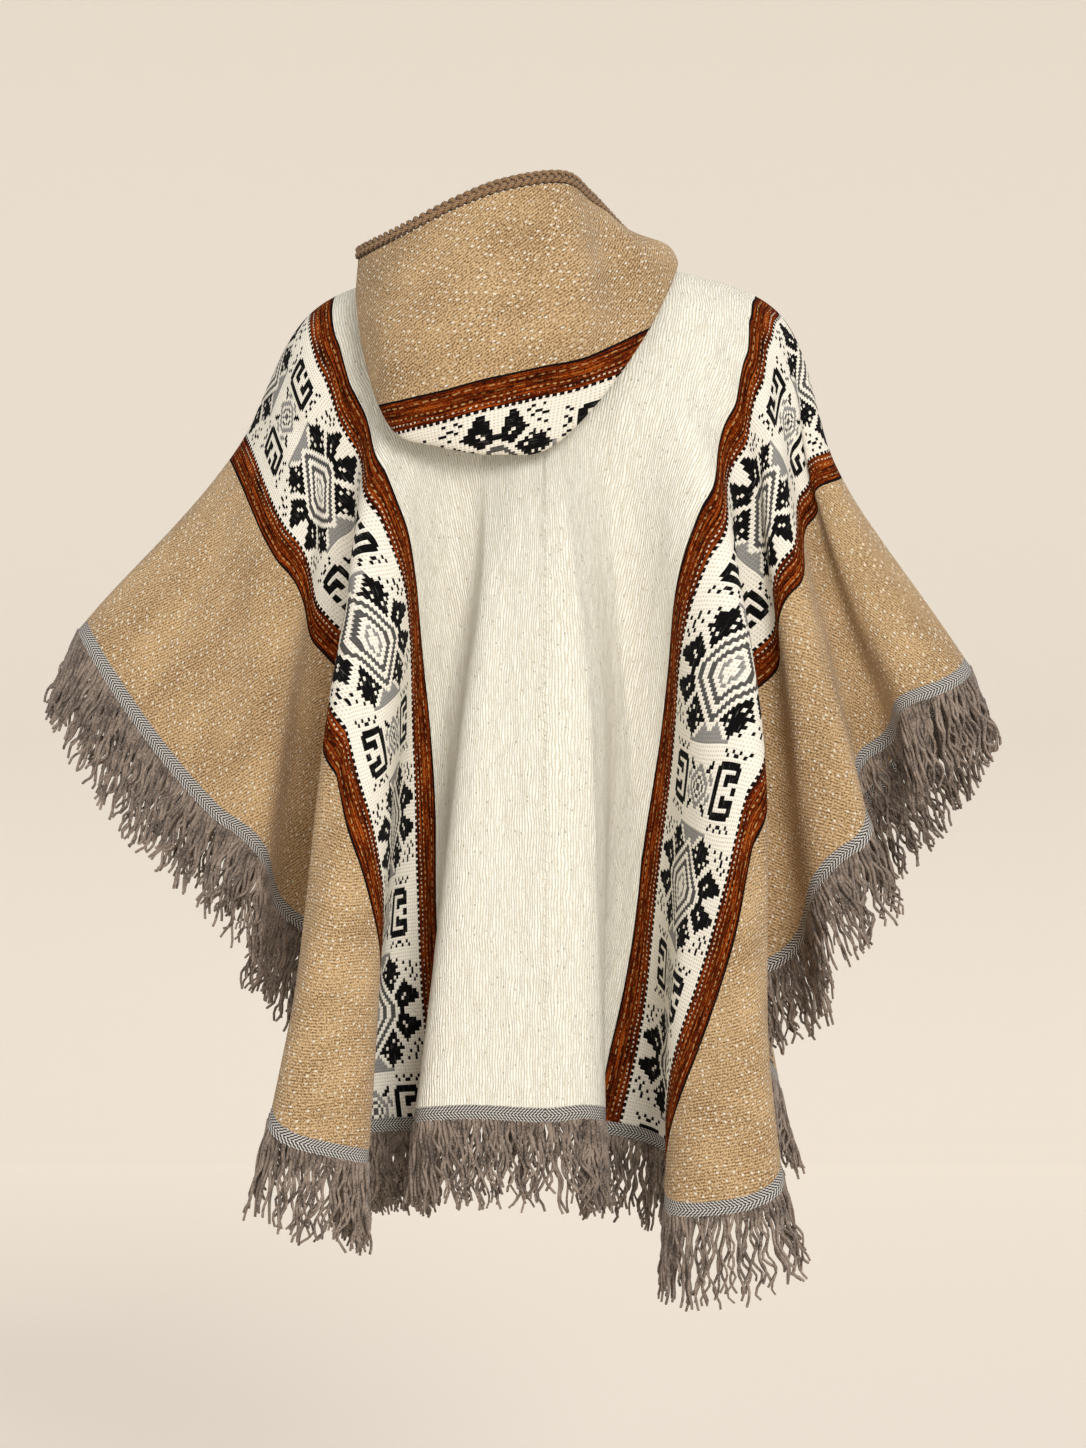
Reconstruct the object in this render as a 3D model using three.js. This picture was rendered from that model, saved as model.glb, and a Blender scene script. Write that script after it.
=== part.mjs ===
// A hooded wool poncho, worn form: one blanket in two woven halves that are sewn together down the centre,
// each half made here as a back and a front,
// a hood that hangs down the back as a pouch, a plaited cord round the hood's mouth, and a fringed tape
// along the hem. Millimetres, +Z up. The back faces -Y, and +X is to the right of somebody who looks at
// the back. The origin is the middle of the neck opening, on the line of the shoulders.
import * as THREE from "three";

// ---- Driving dimensions ----------------------------------------------------------------------------
const WALL = 3; // thick hand-loomed wool
const SEAM_GAP = 0.3; // parting between two pieces

// The flat cut of the blanket: a rectangle with round corners and an oval neck hole, without its tape.
const CUT = { halfWidth: 635, halfLength: 916, corner: 260 };
const STRAIGHT_END = CUT.halfWidth - CUT.corner;
const ARC_END = STRAIGHT_END + (CUT.corner * Math.PI) / 2;
const QUARTER = ARC_END + CUT.halfLength - CUT.corner;
const NECK = { halfWidth: 100, halfDepth: 78, sideZ: 6, backZ: -8, frontZ: -38 };

// Where the cloth leaves the shoulders of a general figure.
const SHOULDER = { halfWidth: 228, halfDepth: 112, sideZ: -42, backZ: -112, widthPower: 1.4, depthPower: 0.63 };
const MID_DROP = 0.45; // the middle section lies this share of the way from shoulder to hem

const TAPE = { width: 14, thick: 3 };
const FRINGE = { length: 74, droop: 0.5, spread: 5, tipShare: 0.5 };
const BRAID = { width: 15, thick: 9, sides: 6 };
const HOOD = { wall: 3, columns: 44, riseInNeck: 6, riseAboveNeck: 9 };
// Rows of the hood's wall, counted in the stops of its profile.
const HOOD_ROWS = [0, 1, 1.6, 2.2, 2.7, 3.2, 3.6, 4, 4.4, 4.9, 5.4, 6];
const BODY_ROWS = 11;

// ---- The folds -------------------------------------------------------------------------------------
// A row for each fold of one quarter, from the centre line out to the side tip.
//   at      how far along the cut edge the fold meets it, from the centre line
//   head    the way the hem runs there, in plan: 0 is outwards, 90 is towards the other face
//   swing   how hard the cloth swings between this fold and the next one
//   x, deep, z             the fold at the hem: sideways, out from the middle plane, height
//   midAt, midX, midDeep   the same fold half way down
//   cuts    facets between this fold and the next one
const BACK_LEFT = [
  { name: "centre", at: 0, head: 0, swing: 100, x: 0, deep: 205, z: -816, midAt: 0, midX: 0, midDeep: 170, cuts: 2 },
  { name: "bulge", at: 100, head: 4, swing: 250, x: 90, deep: 202, z: -814, midAt: 120, midX: 58, midDeep: 172, cuts: 5 },
  { name: "valley", at: 288, head: 0, swing: 420, x: 142, deep: 80, z: -838, midAt: 345, midX: 98, midDeep: 106, cuts: 8 },
  { name: "tube", at: 600, head: 0, swing: 360, x: 218, deep: 262, z: -838, midAt: 680, midX: 180, midDeep: 196, cuts: 8 },
  { name: "pocket", at: 935, head: 0, swing: 240, x: 224, deep: 32, z: -652, midAt: 905, midX: 206, midDeep: 72, cuts: 4 },
  { name: "wing", at: 1130, head: 17, swing: 220, x: 310, deep: 92, z: -540, midAt: 1110, midX: 250, midDeep: 92, cuts: 5 },
  { name: "tip", at: QUARTER, head: 90, swing: 0, x: 456, deep: 0, z: -350, midAt: QUARTER, midX: 307, midDeep: 0, cuts: 0 },
];
const BACK_RIGHT = [
  { name: "centre", at: 0, head: 0, swing: 50, x: 0, deep: 205, z: -816, midAt: 0, midX: 0, midDeep: 170, cuts: 2 },
  { name: "bulge", at: 48, head: 30, swing: 150, x: 42, deep: 196, z: -814, midAt: 70, midX: 42, midDeep: 164, cuts: 4 },
  { name: "valley", at: 232, head: 0, swing: 440, x: 62, deep: 80, z: -842, midAt: 300, midX: 80, midDeep: 106, cuts: 8 },
  { name: "tube", at: 520, head: 0, swing: 400, x: 176, deep: 262, z: -894, midAt: 620, midX: 180, midDeep: 196, cuts: 8 },
  { name: "pocket", at: 890, head: 0, swing: 230, x: 212, deep: 32, z: -690, midAt: 870, midX: 211, midDeep: 68, cuts: 4 },
  { name: "wing", at: 1060, head: 10, swing: 110, x: 298, deep: 100, z: -566, midAt: 1050, midX: 238, midDeep: 98, cuts: 3 },
  { name: "step", at: 1175, head: 10, swing: 150, x: 318, deep: 36, z: -474, midAt: 1175, midX: 258, midDeep: 58, cuts: 3 },
  { name: "outer wing", at: 1310, head: 10, swing: 150, x: 366, deep: 84, z: -418, midAt: 1310, midX: 274, midDeep: 66, cuts: 3 },
  { name: "tip", at: QUARTER, head: 90, swing: 0, x: 414, deep: 0, z: -385, midAt: QUARTER, midX: 285, midDeep: 0, cuts: 0 },
];
const FRONT = [
  { name: "centre", at: 0, head: 0, swing: 110, x: 0, deep: 196, z: -836, midAt: 0, midX: 0, midDeep: 162, cuts: 2 },
  { name: "bulge", at: 100, head: 8, swing: 220, x: 90, deep: 190, z: -836, midAt: 120, midX: 62, midDeep: 162, cuts: 4 },
  { name: "valley", at: 276, head: 0, swing: 380, x: 140, deep: 80, z: -852, midAt: 330, midX: 100, midDeep: 106, cuts: 7 },
  { name: "tube", at: 570, head: 0, swing: 350, x: 212, deep: 250, z: -862, midAt: 650, midX: 176, midDeep: 192, cuts: 7 },
  { name: "pocket", at: 905, head: 0, swing: 240, x: 220, deep: 32, z: -676, midAt: 890, midX: 203, midDeep: 72, cuts: 4 },
  { name: "wing", at: 1110, head: 17, swing: 210, x: 304, deep: 96, z: -548, midAt: 1100, midX: 246, midDeep: 94, cuts: 4 },
];

// The hood: for each bearing round the neck, where its lowest fold lies and where its mouth lies. push and
// belly are how far the cloth swells, on its way down to the fold and on its way up from it.
// turn is 0 at the back and grows to the right.
const HOOD_FOLDS = [
  { turn: -150, foldX: -62, foldY: 82, foldZ: -6, mouthX: -64, mouthY: 90, mouthZ: 12, push: 0, belly: 1 },
  { turn: -124, foldX: -114, foldY: 34, foldZ: 2, mouthX: -112, mouthY: 44, mouthZ: 24, push: 1, belly: 5 },
  { turn: -98, foldX: -158, foldY: -44, foldZ: -8, mouthX: -154, mouthY: -34, mouthZ: 15, push: 6, belly: 9 },
  { turn: -76, foldX: -174, foldY: -112, foldZ: -84, mouthX: -180, mouthY: -106, mouthZ: -4, push: 12, belly: 5 },
  { turn: -52, foldX: -148, foldY: -150, foldZ: -168, mouthX: -138, mouthY: -168, mouthZ: 9, push: 13, belly: 12 },
  { turn: -26, foldX: -102, foldY: -164, foldZ: -188, mouthX: -90, mouthY: -188, mouthZ: 31, push: 13, belly: 24 },
  { turn: 0, foldX: -46, foldY: -166, foldZ: -196, mouthX: -42, mouthY: -186, mouthZ: 50, push: 13, belly: 26 },
  { turn: 30, foldX: 12, foldY: -158, foldZ: -184, mouthX: 16, mouthY: -164, mouthZ: 61, push: 13, belly: 24 },
  { turn: 58, foldX: 84, foldY: -130, foldZ: -98, mouthX: 46, mouthY: -118, mouthZ: 50, push: 12, belly: 12 },
  { turn: 88, foldX: 129, foldY: -54, foldZ: -4, mouthX: 82, mouthY: -46, mouthZ: 31, push: 3, belly: 16 },
  { turn: 118, foldX: 112, foldY: 30, foldZ: 6, mouthX: 101, mouthY: 34, mouthZ: 25, push: 0, belly: 8 },
  { turn: 150, foldX: 60, foldY: 82, foldZ: -6, mouthX: 60, mouthY: 88, mouthZ: 14, push: 0, belly: 1 },
  { turn: 180, foldX: 0, foldY: 96, foldZ: -13, mouthX: 0, mouthY: 104, mouthZ: 5, push: 0, belly: 1 },
];

// ---- Small helpers ---------------------------------------------------------------------------------
const LEFT = -1;
const RIGHT = 1;
const BACK = -1;
const FACE_FRONT = 1;
const vec = (x, y, z) => new THREE.Vector3(x, y, z);
const radians = (degrees) => (degrees * Math.PI) / 180;

// Cubic from a to b with end slopes ta and tb, at share t.
function hermite(a, b, ta, tb, t) {
  const t2 = t * t;
  const t3 = t2 * t;
  return a * (2 * t3 - 3 * t2 + 1) + ta * (t3 - 2 * t2 + t) + b * (3 * t2 - 2 * t3) + tb * (t3 - t2);
}

// The point at share f of a polyline's length; past its end it runs straight on.
function alongPolyline(points, f) {
  const lengths = [0];
  for (let i = 1; i < points.length; i++) lengths.push(lengths[i - 1] + points[i].distanceTo(points[i - 1]));
  const wanted = f * lengths[lengths.length - 1];
  let i = 1;
  while (i < points.length - 1 && lengths[i] < wanted) i++;
  const share = (wanted - lengths[i - 1]) / (lengths[i] - lengths[i - 1]);
  return points[i - 1].clone().lerp(points[i], share);
}

// A smooth curve through a few points, its knots spaced by their distance, as a polyline.
function smoothPath(stops, steps) {
  const knots = [0];
  for (let i = 1; i < stops.length; i++) knots.push(knots[i - 1] + stops[i].distanceTo(stops[i - 1]));
  const secant = (i) => stops[i + 1].clone().sub(stops[i]).divideScalar(knots[i + 1] - knots[i]);
  const last = stops.length - 1;
  const slopes = stops.map((_, i) => {
    if (i === 0) return secant(0);
    if (i === last) return secant(last - 1);
    const before = knots[i] - knots[i - 1];
    const after = knots[i + 1] - knots[i];
    return secant(i - 1).multiplyScalar(after).add(secant(i).multiplyScalar(before)).divideScalar(before + after);
  });
  const points = [stops[0].clone()];
  for (let i = 0; i < last; i++) {
    const width = knots[i + 1] - knots[i];
    for (let k = 1; k <= steps; k++) {
      const on = (axis) =>
        hermite(stops[i][axis], stops[i + 1][axis], slopes[i][axis] * width, slopes[i + 1][axis] * width, k / steps);
      points.push(vec(on("x"), on("y"), on("z")));
    }
  }
  return points;
}

// ---- The flat cut ----------------------------------------------------------------------------------
// The point of the cut edge at a distance from the centre line: x outwards, y down the cloth.
function cutEdge(at) {
  if (at <= STRAIGHT_END) return { x: at, y: CUT.halfLength, turn: 0 };
  if (at >= ARC_END) return { x: CUT.halfWidth, y: CUT.halfLength - CUT.corner - (at - ARC_END), turn: Math.PI / 2 };
  const turn = (at - STRAIGHT_END) / CUT.corner;
  const x = STRAIGHT_END + CUT.corner * Math.sin(turn);
  return { x, y: CUT.halfLength - CUT.corner + CUT.corner * Math.cos(turn), turn };
}

const bearing = (at) => Math.atan2(cutEdge(at).x, cutEdge(at).y);

function neckRadius(angle) {
  return 1 / Math.hypot(Math.sin(angle) / NECK.halfWidth, Math.cos(angle) / NECK.halfDepth);
}

function neckPoint(angle, side, face) {
  const radius = neckRadius(angle);
  const dip = face === BACK ? NECK.backZ : NECK.frontZ;
  const z = NECK.sideZ * Math.sin(angle) ** 2 + dip * Math.cos(angle) ** 2;
  return vec(side * radius * Math.sin(angle), face * radius * Math.cos(angle), z);
}

function shoulderPoint(angle, side, face) {
  const out = Math.sin(angle);
  const deep = Math.max(0, Math.cos(angle));
  const z = SHOULDER.backZ + (SHOULDER.sideZ - SHOULDER.backZ) * out ** 4;
  const x = side * SHOULDER.halfWidth * out ** SHOULDER.widthPower;
  return vec(x, face * SHOULDER.halfDepth * deep ** SHOULDER.depthPower, z);
}

// ---- The hanging cloth -----------------------------------------------------------------------------
// The section's curve between one fold and the next, as a polyline in plan and height.
function foldToFold(rows, i, middle) {
  const [from, to] = [rows[i], rows[i + 1]];
  const slopeZ = (k) => {
    if (k === 0 || k === rows.length - 1) return 0;
    return (rows[k + 1].z - rows[k - 1].z) / (rows[k + 1].at - rows[k - 1].at);
  };
  const place = (row) => (middle ? [row.midX, row.midDeep] : [row.x, row.deep]);
  const [fromX, fromDeep] = place(from);
  const [toX, toDeep] = place(to);
  const swing = from.swing * (middle ? MID_DROP : 1);
  const [a, b] = [radians(from.head), radians(to.head)];
  const span = to.at - from.at;
  const steps = 40;
  const points = [];
  for (let k = 0; k <= steps; k++) {
    const t = k / steps;
    const x = hermite(fromX, toX, swing * Math.cos(a), swing * Math.cos(b), t);
    const deep = hermite(fromDeep, toDeep, -swing * Math.sin(a), -swing * Math.sin(b), t);
    points.push(vec(x, deep, hermite(from.z, to.z, slopeZ(i) * span, slopeZ(i + 1) * span, t)));
  }
  return points;
}

const TIP = { left: BACK_LEFT.at(-1), right: BACK_RIGHT.at(-1) };
const QUARTERS = [
  { side: LEFT, face: BACK, rows: BACK_LEFT },
  { side: LEFT, face: FACE_FRONT, rows: [...FRONT, TIP.left] },
  { side: RIGHT, face: BACK, rows: BACK_RIGHT },
  { side: RIGHT, face: FACE_FRONT, rows: [...FRONT, TIP.right] },
];
for (const quarter of QUARTERS) {
  quarter.hem = quarter.rows.slice(1).map((_, i) => foldToFold(quarter.rows, i, false));
  quarter.middle = quarter.rows.slice(1).map((_, i) => foldToFold(quarter.rows, i, true));
}

// Where a line of cloth crosses a section whose folds meet it at the places that the key names.
function crossing(rows, curves, key, at) {
  let i = 0;
  while (i < rows.length - 2 && rows[i + 1][key] < at) i++;
  return alongPolyline(curves[i], (at - rows[i][key]) / (rows[i + 1][key] - rows[i][key]));
}

// The four stops of one line of cloth, from the neck out to the cut edge.
function clothLine(quarter, at) {
  const { side, face, rows } = quarter;
  const hem = crossing(rows, quarter.hem, "at", at);
  const middle = crossing(rows, quarter.middle, "midAt", at);
  const angle = bearing(at);
  const shoulder = shoulderPoint(angle, side, face);
  const midZ = shoulder.z + MID_DROP * (hem.z - shoulder.z);
  return smoothPath(
    [
      neckPoint(angle, side, face),
      shoulder,
      vec(side * middle.x, face * middle.y, midZ),
      vec(side * hem.x, face * hem.y, hem.z),
    ],
    12,
  );
}

// around: 0 at the centre back, QUARTER at the side tip, 2 x QUARTER at the centre front.
function quarterAt(side, around) {
  const face = around <= QUARTER ? BACK : FACE_FRONT;
  const quarter = QUARTERS.find((q) => q.side === side && q.face === face);
  return { quarter, at: face === BACK ? around : 2 * QUARTER - around };
}

// A point of the cloth's middle surface. down is 0 at the neck and 1 at the cut edge.
function clothPoint(side, around, down) {
  const { quarter, at } = quarterAt(side, Math.min(Math.max(around, 0), 2 * QUARTER));
  return alongPolyline(clothLine(quarter, at), down);
}

// The outward normal, from points close by.
function clothNormal(side, around, down) {
  const near = 3;
  const before = clothPoint(side, around - near, down);
  const after = clothPoint(side, around + near, down);
  const above = clothPoint(side, around, down - 0.01);
  const below = clothPoint(side, around, Math.min(down + 0.01, 1));
  const normal = after.sub(before).cross(below.sub(above)).normalize();
  return side === LEFT ? normal : normal.negate();
}

// ---- Closed meshes from grids of points ------------------------------------------------------------
class Mesher {
  constructor() {
    this.positions = [];
    this.faces = [];
  }
  point(p) {
    this.positions.push(p.x, p.y, p.z);
    return this.positions.length / 3 - 1;
  }
  // Corners counter-clockwise as seen from outside.
  quad(a, b, c, d) {
    this.faces.push(a, b, c, a, c, d);
  }
  triangle(a, b, c) {
    this.faces.push(a, b, c);
  }
  geometry(mirrored) {
    const made = new THREE.BufferGeometry();
    made.setAttribute("position", new THREE.Float32BufferAttribute(this.positions, 3));
    const faces = [...this.faces];
    if (mirrored) for (let i = 0; i < faces.length; i += 3) [faces[i + 1], faces[i + 2]] = [faces[i + 2], faces[i + 1]];
    made.setIndex(faces);
    made.computeVertexNormals();
    return made;
  }
}

// A wall between two grids, outer[i][j] and inner[i][j]. A closed wall joins its last column to its first.
function wallGeometry(outer, inner, { closed, mirrored }) {
  const mesher = new Mesher();
  const out = outer.map((column) => column.map((p) => mesher.point(p)));
  const within = inner.map((column) => column.map((p) => mesher.point(p)));
  const columns = outer.length;
  const rows = outer[0].length;
  const spans = closed ? columns : columns - 1;
  for (let i = 0; i < spans; i++) {
    const n = (i + 1) % columns;
    for (let j = 0; j < rows - 1; j++) {
      mesher.quad(out[i][j], out[i][j + 1], out[n][j + 1], out[n][j]);
      mesher.quad(within[i][j], within[n][j], within[n][j + 1], within[i][j + 1]);
    }
    mesher.quad(out[i][0], out[n][0], within[n][0], within[i][0]);
    mesher.quad(out[i][rows - 1], within[i][rows - 1], within[n][rows - 1], out[n][rows - 1]);
  }
  if (!closed) {
    for (let j = 0; j < rows - 1; j++) {
      mesher.quad(out[0][j], within[0][j], within[0][j + 1], out[0][j + 1]);
      const e = columns - 1;
      mesher.quad(out[e][j], out[e][j + 1], within[e][j + 1], within[e][j]);
    }
  }
  return mesher.geometry(mirrored);
}

// ---- The blanket's halves --------------------------------------------------------------------------
// The places round the hem where the wall has a column, for one side, or for one quarter of the blanket.
function columnsOf(side, oneFace = 0) {
  const places = [];
  const quarters = QUARTERS.filter((q) => q.side === side && (oneFace === 0 || q.face === oneFace));
  const addQuarter = ({ rows, face }) => {
    const found = [];
    rows.slice(0, -1).forEach((row, i) => {
      const span = rows[i + 1].at - row.at;
      const cuts = row.cuts;
      for (let k = 0; k < cuts; k++) found.push(row.at + (span * k) / cuts);
    });
    if (face === BACK) {
      places.push(...found, QUARTER);
      return;
    }
    if (places.length === 0) places.push(QUARTER);
    places.push(...found.map((at) => 2 * QUARTER - at).reverse());
  };
  quarters.forEach(addQuarter);
  return places;
}

// Keeps a point on its own side of the centre seam.
function besideSeam(p, side) {
  const least = SEAM_GAP / 2;
  return vec(side * Math.max(side * p.x, least), p.y, p.z);
}

const UP = vec(0, 0, 1);
// Rows are closer together near the shoulder, where the cloth bends over the figure.
const rowShare = (j) => (j / BODY_ROWS) ** 1.12;

function wallNormal(side, around, down) {
  if (down === 0) return UP.clone();
  const normal = clothNormal(side, around, down);
  const onSeam = around === 0 || around === 2 * QUARTER;
  if (onSeam) normal.setX(0).normalize();
  return normal;
}

// Keeps a point of the back or the front on its own side of the line from the neck to the side tip.
function besideTip(p, face) {
  return vec(p.x, face * Math.max(face * p.y, SEAM_GAP / 2), p.z);
}

function bodyGeometry(side, face) {
  const outer = [];
  const inner = [];
  for (const around of columnsOf(side, face)) {
    const shares = Array.from({ length: BODY_ROWS + 1 }, (_, j) => rowShare(j));
    const middle = shares.map((down) => clothPoint(side, around, down));
    const normals = shares.map((down) => wallNormal(side, around, down));
    const moved = (p, j, amount) => besideSeam(p.clone().addScaledVector(normals[j], amount), side);
    const offset = (amount) => middle.map((p, j) => besideTip(moved(p, j, amount), face));
    outer.push(offset(WALL / 2));
    inner.push(offset(-WALL / 2));
  }
  return wallGeometry(outer, inner, { closed: false, mirrored: side === LEFT });
}

// ---- The fringed tape ------------------------------------------------------------------------------
const STRANDS_A_CELL = 2;
const STRAND_SHARE = 0.72; // the part of its stretch of tape that a strand's root takes up

// A steady stand-in for chance, from 0 to 1, so that no two strands hang alike.
const chance = (seed) => {
  const wave = Math.sin(seed * 12.9898) * 43758.5453;
  return wave - Math.floor(wave);
};

// Square to the hem, in the cloth's own surface.
function squareToHem(side, around) {
  const near = 3;
  const along = clothPoint(side, around + near, 1).sub(clothPoint(side, around - near, 1));
  const square = along.cross(wallNormal(side, around, 1)).normalize();
  return side === LEFT ? square.negate() : square;
}

const tapePoint = (side, around, past) => clothPoint(side, around, 1).addScaledVector(squareToHem(side, around), past);

// The way that the fringe leaves the tape: partly square to the hem, partly straight down.
function fringeWay(side, around) {
  const square = squareToHem(side, around);
  return square.multiplyScalar(1 - FRINGE.droop).add(vec(0, 0, -FRINGE.droop)).normalize();
}

function fringeGeometry(side) {
  const mesher = new Mesher();
  const places = columnsOf(side);
  const thick = TAPE.thick / 2;
  const normals = places.map((around) => wallNormal(side, around, 1));
  const level = (past, amount) =>
    places.map((around, i) => besideSeam(tapePoint(side, around, past).addScaledVector(normals[i], amount), side));
  const [topOut, topIn] = [level(SEAM_GAP, thick), level(SEAM_GAP, -thick)];
  const [lowOut, lowIn] = [level(SEAM_GAP + TAPE.width, thick), level(SEAM_GAP + TAPE.width, -thick)];
  const add = (points) => points.map((p) => mesher.point(p));
  const [top, topWithin, low, lowWithin] = [add(topOut), add(topIn), add(lowOut), add(lowIn)];

  for (let i = 0; i < places.length - 1; i++) {
    // The bottom edge's points across this cell, and whether a strand hangs from each stretch.
    const shares = [0];
    for (let s = 0; s < STRANDS_A_CELL; s++) {
      const centre = (s + 0.5) / STRANDS_A_CELL;
      const half = STRAND_SHARE / STRANDS_A_CELL / 2;
      shares.push(centre - half, centre + half);
    }
    shares.push(1);
    const last = shares.length - 1;
    const between = (ends, ids) =>
      shares.map((share, k) => {
        if (k === 0) return { id: ids[i], p: ends[i] };
        if (k === last) return { id: ids[i + 1], p: ends[i + 1] };
        const p = ends[i].clone().lerp(ends[i + 1], share);
        return { id: mesher.point(p), p };
      });
    const out = between(lowOut, low);
    const within = between(lowIn, lowWithin);
    const apex = Math.floor(last / 2);
    for (let k = 0; k < last; k++) {
      const [topA, topB] = k <= apex - 1 ? [top[i], topWithin[i]] : [top[i + 1], topWithin[i + 1]];
      mesher.triangle(topA, out[k].id, out[k + 1].id);
      mesher.triangle(topB, within[k + 1].id, within[k].id);
    }
    mesher.triangle(top[i], out[apex].id, top[i + 1]);
    mesher.triangle(topWithin[i], topWithin[i + 1], within[apex].id);
    mesher.quad(top[i], top[i + 1], topWithin[i + 1], topWithin[i]);
    for (let k = 0; k < last; k++) {
      const ring = [out[k], within[k], within[k + 1], out[k + 1]];
      const strand = k % 2 === 1;
      if (strand) addStrand(mesher, ring, side, places[i] + (places[i + 1] - places[i]) * shares[k], i * 7 + k);
      else mesher.quad(...ring.map((corner) => corner.id));
    }
  }
  const e = places.length - 1;
  mesher.quad(top[0], topWithin[0], lowWithin[0], low[0]);
  mesher.quad(top[e], low[e], lowWithin[e], topWithin[e]);
  return mesher.geometry(side === LEFT);
}

// A lock of yarn from four corners of the tape's lower edge, narrower at its end.
function addStrand(mesher, root, side, around, seed) {
  const centre = root.reduce((sum, corner) => sum.add(corner.p), vec(0, 0, 0)).divideScalar(root.length);
  const length = FRINGE.length * (0.82 + 0.3 * chance(seed));
  const sway = vec((chance(seed + 0.3) - 0.5) * FRINGE.spread, 0, 0);
  const end = centre.clone().addScaledVector(fringeWay(side, around), length).add(sway);
  const tips = root.map((corner) => {
    const p = corner.p.clone().sub(centre).multiplyScalar(FRINGE.tipShare).add(end);
    return mesher.point(besideSeam(p, side));
  });
  root.forEach((corner, k) => {
    const n = (k + 1) % root.length;
    mesher.quad(corner.id, root[n].id, tips[n], tips[k]);
  });
  mesher.quad(...tips);
}

// ---- The hood --------------------------------------------------------------------------------------
// A value of the hood's table at a bearing, on a smooth curve that closes on itself.
function hoodValue(key, turn) {
  const rows = HOOD_FOLDS;
  const count = rows.length;
  let i = 0;
  while (i < count - 1 && rows[i + 1].turn < turn) i++;
  const index = (k) => ((k % count) + count) % count;
  const turnOf = (k) => rows[index(k)].turn + 360 * Math.floor(k / count);
  const valueOf = (k) => rows[index(k)][key];
  const at = turn < rows[0].turn ? turn + 360 : turn;
  if (at !== turn) i = count - 1;
  const slope = (k) => (valueOf(k + 1) - valueOf(k - 1)) / (turnOf(k + 1) - turnOf(k - 1));
  const span = turnOf(i + 1) - turnOf(i);
  return hermite(valueOf(i), valueOf(i + 1), slope(i) * span, slope(i + 1) * span, (at - turnOf(i)) / span);
}

// The hood's profile at a bearing: up out of the neck, over, down inside, round its fold and up to its mouth.
function hoodProfile(turn) {
  const angle = radians(turn);
  const face = Math.cos(angle) >= 0 ? BACK : FACE_FRONT;
  const side = turn < 0 ? LEFT : RIGHT;
  const folded = Math.acos(Math.abs(Math.cos(angle)));
  const seam = neckPoint(folded, side, face);
  const clear = 1 - (HOOD.wall / 2 + SEAM_GAP + 0.4) / neckRadius(folded);
  const inNeck = (z) => vec(seam.x * clear, seam.y * clear, seam.z + z);
  const fold = vec(hoodValue("foldX", turn), hoodValue("foldY", turn), hoodValue("foldZ", turn));
  const mouth = vec(hoodValue("mouthX", turn), hoodValue("mouthY", turn), hoodValue("mouthZ", turn));
  const away = vec(seam.x, seam.y, 0).normalize();
  const crest = inNeck(HOOD.riseAboveNeck).addScaledVector(away, 3);
  const push = hoodValue("push", turn);
  const inner = crest.clone().lerp(fold, 0.5).addScaledVector(away, push).add(vec(0, 0, 0.6 * push));
  const outer = fold.clone().lerp(mouth, 0.5).addScaledVector(away, hoodValue("belly", turn));
  return [inNeck(-HOOD.riseInNeck), inNeck(1), crest, inner, fold, outer, mouth];
}

// A point of the hood's middle surface. stop is 0 at its lower edge, 4 at its fold and 6 at its mouth.
function hoodPoint(turn, stop) {
  const steps = 10;
  const path = smoothPath(hoodProfile(turn), steps);
  const i = Math.min(Math.floor(stop * steps), path.length - 2);
  return path[i].clone().lerp(path[i + 1], stop * steps - i);
}
const HOOD_MOUTH = 6;
const wrapTurn = (turn) => ((turn + 540) % 360) - 180;

function hoodNormal(turn, stop) {
  const before = hoodPoint(wrapTurn(turn - 1), stop);
  const after = hoodPoint(wrapTurn(turn + 1), stop);
  const lower = hoodPoint(turn, Math.max(stop - 0.05, 0));
  const higher = hoodPoint(turn, Math.min(stop + 0.05, HOOD_MOUTH));
  return higher.sub(lower).cross(after.sub(before)).normalize();
}

const hoodTurns = (count) => Array.from({ length: count }, (_, i) => -180 + (360 * i) / count);

function hoodGeometry() {
  const outer = [];
  const inner = [];
  for (const turn of hoodTurns(HOOD.columns)) {
    const middle = HOOD_ROWS.map((stop) => hoodPoint(turn, stop));
    const normals = HOOD_ROWS.map((stop) => hoodNormal(turn, stop));
    outer.push(middle.map((p, j) => p.clone().addScaledVector(normals[j], HOOD.wall / 2)));
    inner.push(middle.map((p, j) => p.clone().addScaledVector(normals[j], -HOOD.wall / 2)));
  }
  return wallGeometry(outer, inner, { closed: true, mirrored: false });
}

// The plaited cord, as its outer shape: an oval bead that sits on the hood's edge.
function braidGeometry() {
  const mesher = new Mesher();
  const rings = hoodTurns(HOOD.columns).map((turn) => {
    const edge = hoodPoint(turn, HOOD_MOUTH);
    const up = edge.clone().sub(hoodPoint(turn, HOOD_ROWS.at(-2))).normalize();
    const thickWay = hoodNormal(turn, HOOD_MOUTH);
    const centre = edge.clone().addScaledVector(up, BRAID.width / 2 + 2 * SEAM_GAP);
    return Array.from({ length: BRAID.sides }, (_, k) => {
      const angle = (2 * Math.PI * (k + 0.5)) / BRAID.sides;
      const p = centre.clone().addScaledVector(up, (BRAID.width / 2) * Math.cos(angle) * 1.1);
      return mesher.point(p.addScaledVector(thickWay, (BRAID.thick / 2) * Math.sin(angle)));
    });
  });
  rings.forEach((ring, i) => {
    const next = rings[(i + 1) % rings.length];
    ring.forEach((corner, k) => {
      const n = (k + 1) % ring.length;
      mesher.quad(corner, next[k], next[n], ring[n]);
    });
  });
  return mesher.geometry(false);
}

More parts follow.
